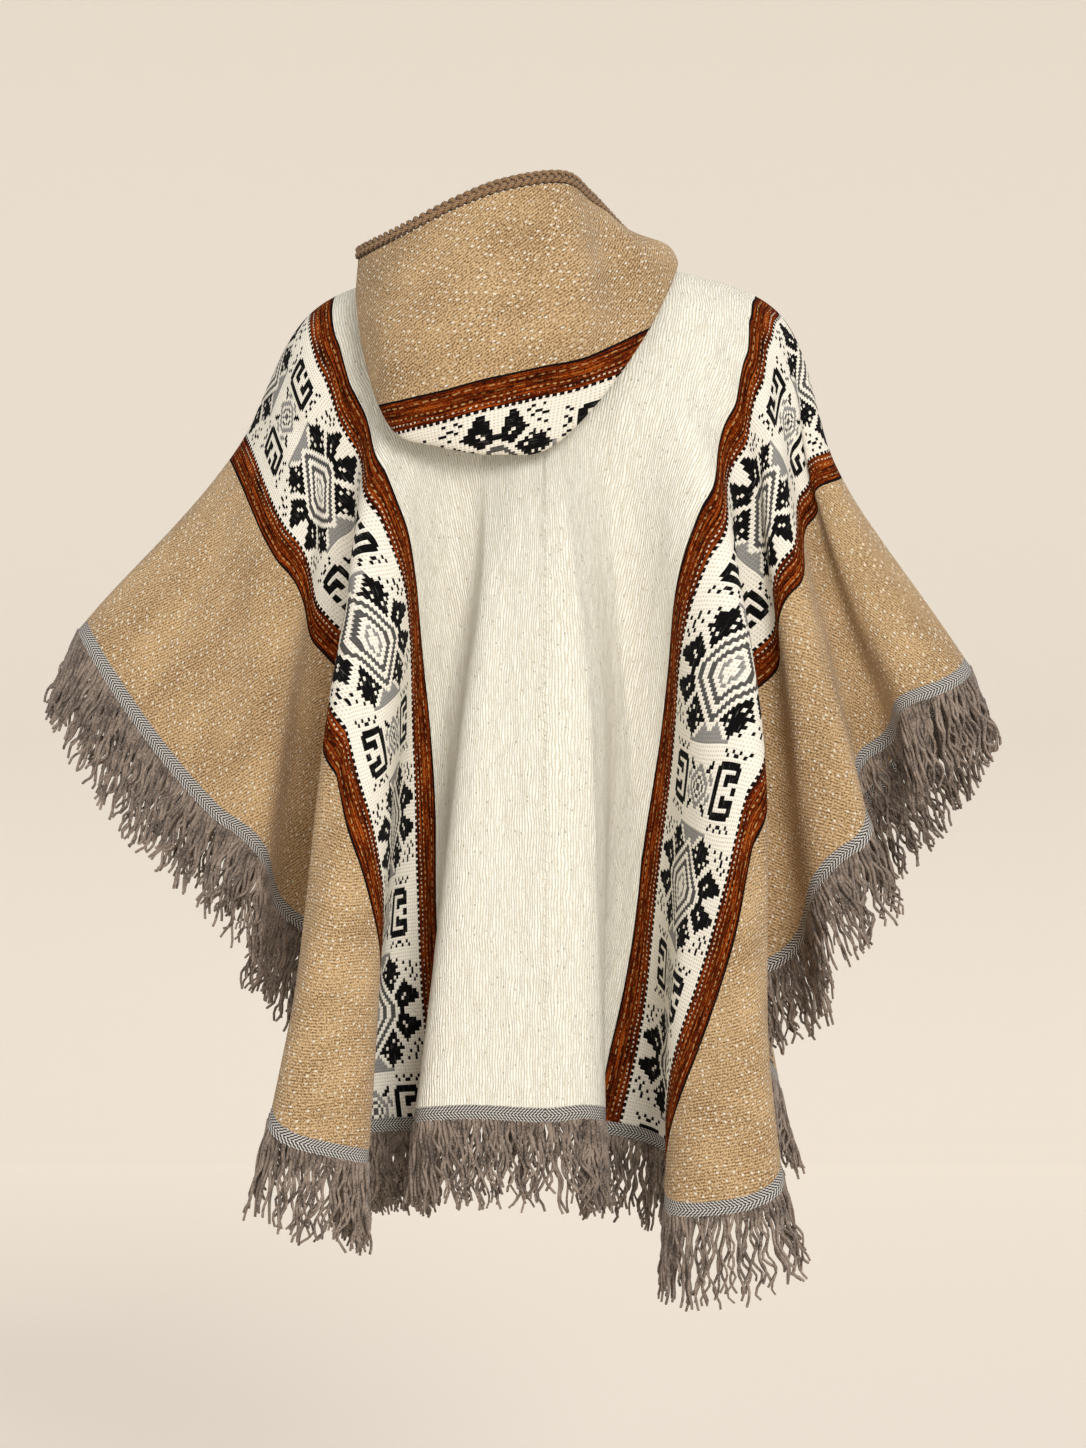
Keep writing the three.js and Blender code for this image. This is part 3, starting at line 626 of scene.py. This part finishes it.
def colour_squares(piece, square_of):
    """Gives each face of a piece the colour of its chart square, as a face attribute."""
    faces = piece.data.polygons
    flat = np.empty(2 * len(piece.data.loops), np.float32)
    piece.data.uv_layers["flat"].data.foreach_get("uv", flat)
    start, corners = np.empty(len(faces), int), np.empty(len(faces), int)
    faces.foreach_get("loop_start", start)
    faces.foreach_get("loop_total", corners)
    middle = np.add.reduceat(flat.reshape(-1, 2), start, axis=0) / corners[:, None] / MM
    across, along = (np.floor(c).astype(int) for c in square_of(middle[:, 0], middle[:, 1]))
    linear = np.array([wool_colour(*value) for value in THREADS.values()], np.float32)
    thread = piece.data.attributes.new("thread", "FLOAT_COLOR", "FACE")
    thread.data.foreach_set("color", linear[charted(across, along)].ravel())


# %% Band finish
def make_band_wool():
    finish = Finish("patterned_band_wool", sheen=0.02, shine=0.05)
    place, u, v = finish.flat()
    thread = finish.node("ShaderNodeAttribute", attribute_name="thread").outputs["Color"]
    fine = finish.grain(place, 0.9, 0.9, 3)
    warp, weft = finish.wave(u, 3.02), finish.wave(v, 3.57)
    crossing = finish.times(warp, weft)
    gap = finish.times(finish.ramp(crossing, 0.3, 0.75), finish.ramp(fine, 0.3, 0.6))
    colour = finish.mix(finish.times(gap, 0.75), thread, wool_colour(196, 178, 150), "MULTIPLY")
    worn = finish.ramp(finish.grain(place, 0.9, 0.08, 2), 0.6, 0.72)
    colour = finish.mix(finish.times(worn, 0.16), colour, wool_colour(200, 194, 184))
    return finish.done(colour, finish.plus(crossing, fine), 0.5)


BAND_WOOL = make_band_wool()


# %% [markdown]
# ## Tan side wool
# The sides and the hood are a heather of tan yarns, with a white slub every few threads. The slubs lie in
# slanting rows, because each pass of the weft shifts by a thread or two.

# %% Tan wool
def make_tan_wool(name, turn):
    finish = Finish(name)
    place, u, v = finish.flat()
    heather = finish.grain(place, 0.62, 0.5, 5, turn)
    patch = finish.grain(place, 0.012, 0.02, 2)
    twill = finish.wave(finish.times_plus(u, 0.55, v), 3.4)
    grain = finish.times_plus(twill, 0.12, finish.times_plus(patch, 0.2, heather))
    tone = finish.ramp(grain, 0.46, 0.84)
    colour = finish.mix(tone, wool_colour(108, 78, 44), wool_colour(218, 184, 138))
    spot, chance = finish.cells(finish.sized(place, (1 / 8.8, 1 / 6.6, 1), turn), 0.6)
    slub = finish.times(finish.ramp(spot, 0.23, 0.12), finish.ramp(chance, 0.25, 0.75))
    small, odds = finish.cells(finish.sized(place, (1 / 3.6, 1 / 4.6, 1), turn + 20), 0.9)
    speck = finish.times(finish.ramp(small, 0.3, 0.12), finish.ramp(odds, 0.45, 0.9))
    colour = finish.mix(finish.times(speck, 0.45), colour, wool_colour(232, 210, 172))
    colour = finish.mix(finish.times(slub, 0.9), colour, wool_colour(246, 234, 212))
    height = finish.plus(finish.times_plus(twill, 0.5, heather), slub)
    return finish.done(colour, height, 1.0)


TAN_WOOL = make_tan_wool("tan_side_wool", 28)
HOOD_WOOL = make_tan_wool("tan_hood_wool", 62)
print("finishes:", len(bpy.data.materials))


# %% [markdown]
# ## The white centre panels
# The panel runs from the back hem over the shoulder to the front hem, with half of the neck hole cut from it.
# Two grids meet on the shoulder line beyond the neck, and their points are welded there. Columns crowd
# towards the end of the neck hole, where its edge turns fast.

# %% White panels
SIDE_NAMES = {LEFT: "left", RIGHT: "right"}


def run_between(side, t, low, high):
    """Rows run one way on the left and the other way on the right, so that both halves face outwards."""
    return low + (high - low) * (t if side == LEFT else 1 - t)


def blanket_piece(piece, side):
    name = SIDE_NAMES[side]
    return join_frame(thicken(piece, WALL), "blanket_wool", "back_" + name, "front_" + name)


def white_panel(side):
    shape, flats = bmesh.new(), []
    beyond_neck = STRIPES["white"][1] - NECK_WIDE
    for face in (1, -1):

        def place(s, t):
            x = NECK_WIDE * np.sin(np.pi * np.minimum(s, 0.5))
            x = np.where(s < 0.5, x, NECK_WIDE + (2 * s - 1) * beyond_neck)
            neck = NECK_DEEP * np.sqrt(np.maximum(1 - (x / NECK_WIDE) ** 2, 0))
            low, high = (neck, HALF_LENGTH + 0 * x) if face == 1 else (-HALF_LENGTH + 0 * x, -neck)
            v = run_between(side, t, low, high)
            return hang(side, x, v), np.stack([side * x, v], 1)

        flats.append(moved_grid(shape, 48, 184, place))
    piece = finish_piece("white_" + SIDE_NAMES[side], shape, np.concatenate(flats), WHITE_WOOL)
    return blanket_piece(piece, side)


panels = {side: white_panel(side) for side in (LEFT, RIGHT)}
for side, panel in panels.items():
    print(panel.name, len(panel.data.polygons), "faces")


# %% [markdown]
# ## The stripes, the band and the tan side
# Each is a long strip of the same cloth, from the back hem to the front hem. Where the corners of the blanket
# are rounded, the strip's ends follow the round edge. The band's grid has one column and one row a square.

# %% Strips
def strip_end(x):
    """How far down the cloth the cut edge is, at a distance from the centre seam."""
    return HALF_LENGTH - CORNER + np.sqrt(CORNER**2 - np.maximum(x - STRAIGHT_END, 0) ** 2)


def strip(side, stripe, columns, rows, material, flat_u):
    inner, outer = STRIPES[stripe]

    def place(s, t):
        if stripe == "tan":
            s = np.sin(s * math.pi / 2)
        x = inner + (outer - inner) * s
        v = run_between(side, t, -strip_end(x), strip_end(x))
        return hang(side, x, v), np.stack([flat_u(x), v], 1)

    shape = bmesh.new()
    flat = moved_grid(shape, columns, rows, place)
    piece = finish_piece(f"{stripe}_{SIDE_NAMES[side]}", shape, flat, material)
    return blanket_piece(piece, side)


# The chart starts near the shoulder line, so many rows from the front hem.
BAND_START = {LEFT: 259, RIGHT: 267}

for side in (LEFT, RIGHT):
    for stripe, columns, rows, material, flat_u in (
        ("inner_rust", 8, 366, RUST_WOOL, lambda x: x - STRIPES["inner_rust"][0]),
        ("band", BAND_COLUMNS, BAND_ROWS, BAND_WOOL, lambda x: x - STRIPES["band"][0]),
        ("outer_rust", 8, 366, RUST_WOOL, lambda x: STRIPES["outer_rust"][1] - x),
        ("tan", 46, 330, TAN_WOOL, lambda x: x),
    ):
        piece = strip(side, stripe, columns, rows, material, flat_u)
        inner, outer = STRIPES[stripe]
        if stripe == "band":
            column, first = (outer - inner) / BAND_COLUMNS, BAND_START[side]
            colour_squares(piece, lambda u, v: (u / column, (v + HALF_LENGTH) / SQUARE - first))
        print(piece.name, len(piece.data.polygons), "faces")


# %% [markdown]
# ## The hood
# The hood hangs down the back as a pouch: its cloth rises out of the neck, falls inside to a fold and comes
# up again to the mouth. A table gives each bearing round the neck its own profile, as on the plain model. The
# part next to the mouth is tan, then come a rust stripe, the patterned band and tan cloth again. The stripes
# run straighter than the mouth's edge does, so they are measured from a line of their own.

# %% The hood's folds: turn, fold x y z, mouth x y z, push, belly
HOOD_FOLDS = np.array([
    (-150, -62, 82, -6, -64, 90, 12, 0, 1),
    (-124, -114, 34, 2, -112, 44, 24, 1, 5),
    (-98, -158, -44, -8, -154, -34, 15, 6, 9),
    (-76, -174, -112, -84, -180, -106, -4, 12, 5),
    (-52, -148, -150, -168, -138, -168, 9, 13, 12),
    (-26, -102, -164, -188, -90, -188, 31, 13, 24),
    (0, -46, -166, -196, -42, -186, 50, 13, 26),
    (30, 12, -158, -184, 16, -164, 61, 13, 24),
    (58, 84, -130, -98, 46, -118, 50, 12, 12),
    (88, 129, -54, -4, 82, -46, 31, 3, 16),
    (118, 112, 30, 6, 101, 34, 25, 0, 8),
    (150, 60, 82, -6, 60, 88, 14, 0, 1),
    (180, 0, 96, -13, 0, 104, 5, 0, 1),
])


def hood_values(turn):
    """The table's row at each bearing, on smooth curves that close on themselves."""
    table = np.vstack([HOOD_FOLDS[-2:], HOOD_FOLDS, HOOD_FOLDS[:2]])
    turns = table[:, 0].copy()
    turns[:2] -= 360
    turns[-2:] += 360
    slope = (table[2:] - table[:-2]) / (turns[2:] - turns[:-2])[:, None]
    i = np.clip(np.searchsorted(turns, turn, side="right") - 1, 1, len(turns) - 3)
    span = (turns[i + 1] - turns[i])[:, None]
    t = (turn - turns[i])[:, None] / span
    return hermite(table[i], table[i + 1], slope[i - 1] * span, slope[i] * span, t)[:, 1:]


# %% The hood's profiles, from the mouth to the neck
TURNS = np.arange(-180, 181)
HOOD_STEPS = 201


def hood_table():
    angle = np.radians(TURNS)
    folded = np.arccos(np.abs(np.cos(angle)))
    side, face = np.where(TURNS < 0, -1, 1), np.where(np.cos(angle) >= 0, BACK, TO_FRONT)
    radius = neck_radius(folded)
    out, deep = np.sin(folded), np.cos(folded)
    seam = np.stack([side * radius * out, face * radius * deep, neck_height(face, out, deep)], 1)
    clear = 1 - (WALL / 2 + 0.7) / radius
    values = hood_values(TURNS.astype(float))
    fold, mouth, push, belly = values[:, 0:3], values[:, 3:6], values[:, 6:7], values[:, 7:8]
    away = unit(seam * [1, 1, 0])

    def in_neck(z):
        return np.stack([seam[:, 0] * clear, seam[:, 1] * clear, seam[:, 2] + z], 1)

    crest = in_neck(9) + 3 * away
    inner = (crest + fold) / 2 + push * away + 0.6 * push * [0, 0, 1]
    outer = (fold + mouth) / 2 + belly * away
    stops = np.stack([in_neck(-6), in_neck(1), crest, inner, fold, outer, mouth], 1)
    lines = smooth_lines(stops, 30)[:, ::-1]
    length = np.linalg.norm(np.diff(lines, axis=1), axis=2).sum(1)
    even = np.linspace(0, 1, HOOD_STEPS)
    table = np.stack([
        np.stack([np.interp(even, shares_along(line), line[:, k]) for k in range(3)], 1) for line in lines
    ])
    return table, length


HOOD, HOOD_LENGTH = hood_table()
RING = np.concatenate([[0], np.cumsum(np.linalg.norm(np.diff(HOOD[:, 0], axis=0), axis=1))])

# Each crease runs from one place to another: along the mouth, down from it, twice, then half-width, height.
HOOD_CREASES = [
    (556, 8, 560, 190, 22, 5), (604, 14, 596, 140, 22, -7), (640, 10, 636, 80, 16, 3),
    (420, 30, 470, 170, 26, -4), (360, 30, 400, 150, 18, 3), (480, 20, 520, 150, 24, -3),
]
facing = unit(np.cross(np.gradient(HOOD, axis=1), np.gradient(HOOD, axis=0)))
down = HOOD_LENGTH[:, None] * np.linspace(0, 1, HOOD_STEPS)
HOOD += facing * crease_sum(HOOD_CREASES, RING[:, None] + 0 * down, down)[..., None]
print("hood profiles:", round(HOOD_LENGTH.min()), "to", round(HOOD_LENGTH.max()), "mm")
print("hood mouth:", round(RING[-1]), "mm")


# %% Hood strips
def hood_length(turn):
    return np.interp(turn, TURNS, HOOD_LENGTH)


def hood_at(turn, distance):
    """The hood's place at a bearing and a distance from its mouth."""
    return look_up(HOOD, turn + 180, distance / hood_length(turn) * (HOOD_STEPS - 1))


def stripe_line(turn):
    """How far below the mouth the tan part ends. The stripes run straight, and the mouth's edge does not."""
    ends = (
        (-76, 140), (-58, 154), (-46, 162), (-34, 170), (-22, 176),
        (14, 177), (32, 172), (44, 158), (62, 133), (86, 98),
    )
    return np.mean([np.interp(turn + shift, *zip(*ends)) for shift in (-6, -3, 0, 3, 6)], axis=0)


def hood_strip(name, start, end, columns, rows, material, flat_of):
    """A strip between two lines, each so far past the end of the tan part, or at the mouth (None)."""
    from_line = np.zeros(len(TURNS)) if start is None else stripe_line(TURNS) + start
    reaches = TURNS[HOOD_LENGTH > from_line + 2]
    first, last = (-180, 180) if start is None else (reaches.min(), reaches.max())

    def place(s, t):
        turn = first + (last - first) * s
        length, line = hood_length(turn), stripe_line(turn)
        low, high = np.minimum(np.interp(turn, TURNS, from_line), length), np.minimum(line + end, length)
        distance = low + (high - low) * t
        return hood_at(turn, distance), np.stack(flat_of(np.interp(turn, TURNS, RING), distance - line), 1)

    shape = bmesh.new()
    flat = moved_grid(shape, columns, rows, place)
    piece = finish_piece(name, shape, flat, material)
    return join_frame(thicken(piece, WALL), "hood_wool", "hood")


RUST_END, BAND_END, PAST_NECK = 32, 170, 700  # how far past the tan part's end each strip ends
HOOD_COLUMN, HOOD_START = (BAND_END - RUST_END) / BAND_COLUMNS, 30  # a square's width, and the ring's first row
for name, start, end, columns, rows, material, flat_of in (
    ("hood_tan", None, 0, 240, 44, HOOD_WOOL, lambda ring, d: (ring, d)),
    ("hood_rust", 0, RUST_END, 200, 8, RUST_WOOL, lambda ring, d: (d, ring)),
    ("hood_band", RUST_END, BAND_END, 280, BAND_COLUMNS, BAND_WOOL, lambda ring, d: (d - RUST_END, ring)),
    ("hood_lining", BAND_END, PAST_NECK, 160, 40, HOOD_WOOL, lambda ring, d: (ring, d)),
):
    piece = hood_strip(name, start, end, columns, rows, material, flat_of)
    if name == "hood_band":
        colour_squares(piece, lambda u, v: (u / HOOD_COLUMN, v / SQUARE + HOOD_START))


# %% [markdown]
# ## The plaited cord
# A cord of three strands is plaited and sewn on the mouth's edge. In a plait, each strand swings from side to
# side once a turn, and crosses over and under twice, so its path is one sine wave across and one of twice the
# speed through the cord. The three strands are the same path, each a third of a turn behind the last. A
# strand's own length is about one and a half times the mouth's.

# %% The cord's sizes
CORD = {"turn": 24, "swing": 4.3, "weave": 2.6, "strand": 2.6, "lift": 7.4, "longer": 1.5, "girth": 18}


# %% Yarn finishes
def make_yarn(name, dark, light, scale):
    finish = Finish(name, sheen=0.2)
    place = finish.solid_place()
    fibre = finish.noise(place, scale, 3)
    slow = finish.noise(place, scale / 9, 1)
    tone = finish.ramp(finish.times_plus(slow, 0.7, fibre), 0.5, 1.15)
    return finish.done(finish.mix(tone, wool_colour(*dark), wool_colour(*light)), fibre, 0.5)


def make_cord_wool():
    finish = Finish("plaited_brown_wool", sheen=0.2)
    place, u, v = finish.flat()
    ply = finish.wave(finish.times_plus(v, 0.9, u), 2.4)
    fibre = finish.grain(place, 0.8, 2.0, 3)
    tone = finish.ramp(finish.times_plus(fibre, 0.8, finish.times(ply, 0.4)), 0.3, 1.0)
    colour = finish.mix(tone, wool_colour(112, 78, 46), wool_colour(198, 158, 112))
    # Painted shade: each strand's sides, where it turns under the next strand, are painted dark brown.
    deep = finish.ramp(finish.wave(v, CORD["girth"] / 2, -math.pi / 2), 0.75, 0.1)
    colour = finish.mix(finish.times(deep, 0.8), colour, wool_colour(62, 40, 24))
    return finish.done(colour, finish.plus(ply, fibre), 0.8)


CORD_WOOL = make_cord_wool()

# %% The cord
mouth, below_mouth = HOOD[:-1, 0], HOOD[:-1, 26]
mouth_up = unit(mouth - below_mouth)
mouth_along = unit(np.roll(mouth, -1, axis=0) - np.roll(mouth, 1, axis=0))
mouth_through = unit(np.cross(mouth_up, mouth_along))


def round_mouth(values, share):
    """A value of the mouth's ring at a share of its length."""
    closed = np.concatenate([values, values[:1]])
    return np.stack([np.interp(share * RING[-1], RING, closed[:, k]) for k in range(3)], 1)


def strand_path(share, behind):
    turns = round(RING[-1] / CORD["turn"])
    phase = 2 * math.pi * (share * turns + behind / 3)
    up, through = (unit(round_mouth(v, share)) for v in (mouth_up, mouth_through))
    swing, weave = CORD["swing"] * np.sin(phase), CORD["weave"] * np.sin(2 * phase)
    return round_mouth(mouth, share) + up * CORD["lift"] + up * swing[:, None] + through * weave[:, None]


NEAR = 0.0005


def make_cord():
    shape, flats = bmesh.new(), []
    for behind in range(3):

        def place(s, t):
            path = strand_path(s % 1, behind)
            ahead = strand_path((s + NEAR) % 1, behind) - strand_path((s - NEAR) % 1, behind)
            side_way = unit(np.cross(ahead, unit(round_mouth(mouth_through, s))))
            through = unit(np.cross(side_way, ahead))
            turn = 2 * math.pi * t
            rim = CORD["strand"] * (side_way * np.cos(turn)[:, None] + through * np.sin(turn)[:, None])
            return path + rim, np.stack([s * RING[-1] * CORD["longer"], t * CORD["girth"]], 1)

        flats.append(moved_grid(shape, 520, 8, place))
    piece = finish_piece("hood_cord", shape, np.concatenate(flats), CORD_WOOL)
    return join_frame(piece, "braid_wool", "hood_braid")


cord = make_cord()
print("cord:", len(cord.data.polygons), "faces")


# %% [markdown]
# ## The tape and the fringe
# A narrow tape in a grey and white herringbone binds the hem. Below it hangs a fringe of grey-brown yarns.
# Each yarn is a curve of its own, with a little wave, a lean that it shares with its neighbours and a length
# that chance gives it. Curves get their thickness from a bevel and are joined into one mesh for each side.

# %% Tape
TAPE_WIDTH, TAPE_THICK = 14, 2.8
TRIM_CLEAR = 0.15  # tape and yarns stay so far from the centre seam


def make_tape_wool():
    finish = Finish("checked_tape_wool")
    place, u, v = finish.flat()
    slant = finish.math("ABSOLUTE", finish.math("SUBTRACT", u, TAPE_WIDTH / 2))
    bone = finish.wave(finish.plus(slant, v), 3.6)
    across = finish.wave(u, 2.4, 0.6)
    fibre = finish.grain(place, 1.2, 1.2, 2)
    check = finish.times_plus(across, 0.6, bone)
    tone = finish.ramp(finish.times_plus(fibre, 0.3, check), 0.75, 1.25)
    colour = finish.mix(tone, wool_colour(52, 48, 46), wool_colour(218, 212, 204))
    return finish.done(colour, finish.plus(check, fibre), 0.8)


TAPE_WOOL = make_tape_wool()


def hem_frame(side, around):
    """The hem's place, its outward facing and the way square to it, at places round one half."""
    i, j = table_place(around, np.ones_like(around))
    along = np.gradient(HANG[side][:, -1], axis=0)
    square = unit(side * np.cross(along, FACING[side][:, -1]))
    hem, facing = look_up(HANG[side], i, j), unit(look_up(FACING[side], i, j))
    return hem, facing, unit(look_up(np.stack([square, square], 1), i, j * 0))


def beside_seam(points, side):
    points[..., 0] = side * np.maximum(side * points[..., 0], TRIM_CLEAR)
    return points


def make_tape(side):
    def place(s, t):
        t = t if side == RIGHT else 1 - t
        hem, facing, square = hem_frame(side, s * 2 * QUARTER)
        points = beside_seam(hem + square * (0.3 + TAPE_WIDTH * t)[:, None], side)
        return points, np.stack([TAPE_WIDTH * t, s * 2 * QUARTER], 1)

    shape = bmesh.new()
    flat = moved_grid(shape, 720, 4, place)
    piece = finish_piece("tape_" + SIDE_NAMES[side], shape, flat, TAPE_WOOL)
    return join_frame(thicken(piece, TAPE_THICK), "fringe_wool", "fringe_" + SIDE_NAMES[side])


# %% Yarns
def yarn_mesh(name, paths, radius, material):
    """One mesh of many yarns: paths is yarns x points x 3, in millimetres."""
    curve = bpy.data.curves.new(name, "CURVE")
    curve.dimensions = "3D"
    curve.bevel_depth = radius * MM
    curve.bevel_resolution = 0
    curve.use_fill_caps = True
    taper = np.linspace(1, 0.7, paths.shape[1])
    for path in paths:
        spline = curve.splines.new("POLY")
        spline.points.add(len(path) - 1)
        spline.points.foreach_set("co", np.c_[path * MM, np.ones(len(path))].ravel())
        spline.points.foreach_set("radius", taper)
    drawn = bpy.data.objects.new(name + "_curves", curve)
    bpy.context.scene.collection.objects.link(drawn)
    bpy.context.view_layer.update()
    mesh = bpy.data.meshes.new_from_object(drawn.evaluated_get(bpy.context.evaluated_depsgraph_get()))
    bpy.data.objects.remove(drawn)
    mesh.name = name
    mesh.materials.clear()
    mesh.materials.append(material)
    mesh.polygons.foreach_set("use_smooth", np.ones(len(mesh.polygons), bool))
    piece = bpy.data.objects.new(name, mesh)
    bpy.context.scene.collection.objects.link(piece)
    return piece


FRINGE_WOOL = make_yarn("fringe_wool", (58, 46, 38), (162, 143, 127), 0.6)
FRINGE_LENGTH, YARNS, YARN_POINTS, YARN_RADIUS = 78, 1230, 15, 1.85


def fringe_paths(side):
    chance = np.random.default_rng(7 + side)
    spread = (np.arange(YARNS) + chance.uniform(-0.4, 0.4, YARNS)) / YARNS
    around = np.clip(spread, 0.0005, 0.9995) * 2 * QUARTER
    hem, facing, square = hem_frame(side, around)
    along = unit(np.cross(facing, square))
    way = unit(square + [0, 0, -1.0])
    t = np.linspace(0, 1, YARN_POINTS)[None, :]
    length = FRINGE_LENGTH * chance.uniform(0.8, 1.12, YARNS)[:, None]
    layer = np.where(np.arange(YARNS) % 2 == 0, 1.0, -1.0)[:, None]
    shared = 6 * np.sin(around / 31 + side) + 3 * np.sin(around / 13.7) + chance.normal(0, 5.0, YARNS)
    wave, cycles, phase = (chance.uniform(*r, YARNS)[:, None] for r in ((2.0, 5.5), (1.2, 3.0), (0, 6.3)))
    swerve = np.sin(cycles * 2 * math.pi * t + phase) - np.sin(phase)
    sideways = shared[:, None] * t**1.3 + wave * t**0.5 * swerve
    outwards = layer * (0.9 + 2.2 * t) + wave * 0.8 * t * np.cos(cycles * 5.5 * t + phase)
    path = (hem + square * (TAPE_WIDTH - 1))[:, None] + way[:, None] * (length * t)[..., None]
    path += along[:, None] * sideways[..., None] + facing[:, None] * outwards[..., None]
    return beside_seam(path, side)


for side in (LEFT, RIGHT):
    name = SIDE_NAMES[side]
    fringe = yarn_mesh("fringe_yarns_" + name, fringe_paths(side), YARN_RADIUS, FRINGE_WOOL)
    join_frame(fringe, "fringe_wool", "fringe_" + name)
    tape = make_tape(side)
    print(tape.name, fringe.name, len(fringe.data.polygons), "faces")


# %% [markdown]
# ## The centre seam
# The two halves are joined edge to edge with small slanting stitches of the same white yarn.

# %% Seam stitches
SEAM_YARN = make_yarn("seam_yarn", (206, 196, 172), (244, 238, 222), 1.2)


def seam_paths():
    down_one_face = np.arange(84, 912, 9.0)
    v = np.concatenate([down_one_face, -down_one_face])
    points = []
    for side, x, slant, lift in (
        (LEFT, 3.2, -2.2, 1.3), (LEFT, 1.2, -1, 2.0), (RIGHT, 1.2, 1, 2.0), (RIGHT, 3.2, 2.2, 1.3),
    ):
        x = np.full_like(v, x)
        facing, _ = facing_at(side, x, v)
        points.append(hang(side, x, v + slant) + facing * lift)
    return np.stack(points, 1)


stitches = yarn_mesh("seam_stitches", seam_paths(), 0.6, SEAM_YARN)
join_frame(stitches, "blanket_wool", "back_left", "back_right", "front_left", "front_right")
print("seam stitches:", len(stitches.data.polygons), "faces")


# %% [markdown]
# ## Floor and light
# A pale floor that sweeps up into a backdrop keeps the ground plain, with no line where they meet. The paper
# is paler on the floor, which the light only grazes, so that both look alike. Four wide suns make soft
# shadows: the key, behind the camera on the right, gives the folds their shape, and the others and a bright
# room open up the shadows.

# %% Sweep
def make_sweep():
    """All sizes here are in metres."""
    floor, start, wall, bend, height, width = -1.5, -9, 9, 4, 5, 16

    def place(s, t):
        flat_part, arc = wall - bend - start, bend * math.pi / 2
        run = t * (flat_part + arc + height)
        turn = np.clip((run - flat_part) / bend, 0, math.pi / 2)
        y = start + np.minimum(run, flat_part) + bend * np.sin(turn)
        z = floor + bend * (1 - np.cos(turn)) + np.maximum(run - flat_part - arc, 0)
        x = (s - 0.5) * width
        return np.stack([x, y, z], 1) / MM, np.stack([x, run], 1) / MM

    shape = bmesh.new()
    flat = moved_grid(shape, 4, 80, place)
    paper = Finish("pale_paper", 1.0, 0.0)
    parts = paper.node("ShaderNodeSeparateXYZ")
    paper.feed(parts.inputs[0], paper.solid_place())
    up = paper.math("POWER", paper.ramp(parts.outputs[2], floor / MM, (floor + 1) / MM, soft=False), 0.4)
    colour = paper.mix(up, wool_colour(248, 238, 225), wool_colour(210, 201, 189))
    paper.feed(paper.shader.inputs["Base Color"], colour)
    return finish_piece("sweep", shape, flat, paper.material)


make_sweep()


# %% Lights
def soft_light(name, way, softness, strength, colour):
    """A sun so wide that its shadows are soft. `way` points from the poncho to the light."""
    light = bpy.data.objects.new(name, bpy.data.lights.new(name, "SUN"))
    bpy.context.scene.collection.objects.link(light)
    light.data.angle, light.data.energy, light.data.color = math.radians(softness), strength, colour
    tilt = math.acos(way[2] / np.linalg.norm(way))
    light.rotation_euler = (tilt, 0, math.atan2(way[1], way[0]) + math.pi / 2)


NEAR_WHITE, WARM_WHITE = (1, 0.995, 0.985), (1, 0.99, 0.97)
soft_light("Key", (0.32, -1, 0.34), 24, 1.9, NEAR_WHITE)
soft_light("Top", (0.1, -0.1, 1), 40, 0.7, WARM_WHITE)
soft_light("Fill", (-0.5, -1, 0.15), 40, 0.25, WARM_WHITE)
soft_light("Back", (0.3, 1, 0.6), 30, 1.1, WARM_WHITE)
world = bpy.data.worlds.new("Pale room")
world.use_nodes = True
world.node_tree.nodes["Background"].inputs["Color"].default_value = (*NEAR_WHITE, 1)
world.node_tree.nodes["Background"].inputs["Strength"].default_value = 0.43
bpy.context.scene.world = world
bpy.context.scene.view_settings.view_transform = "Standard"
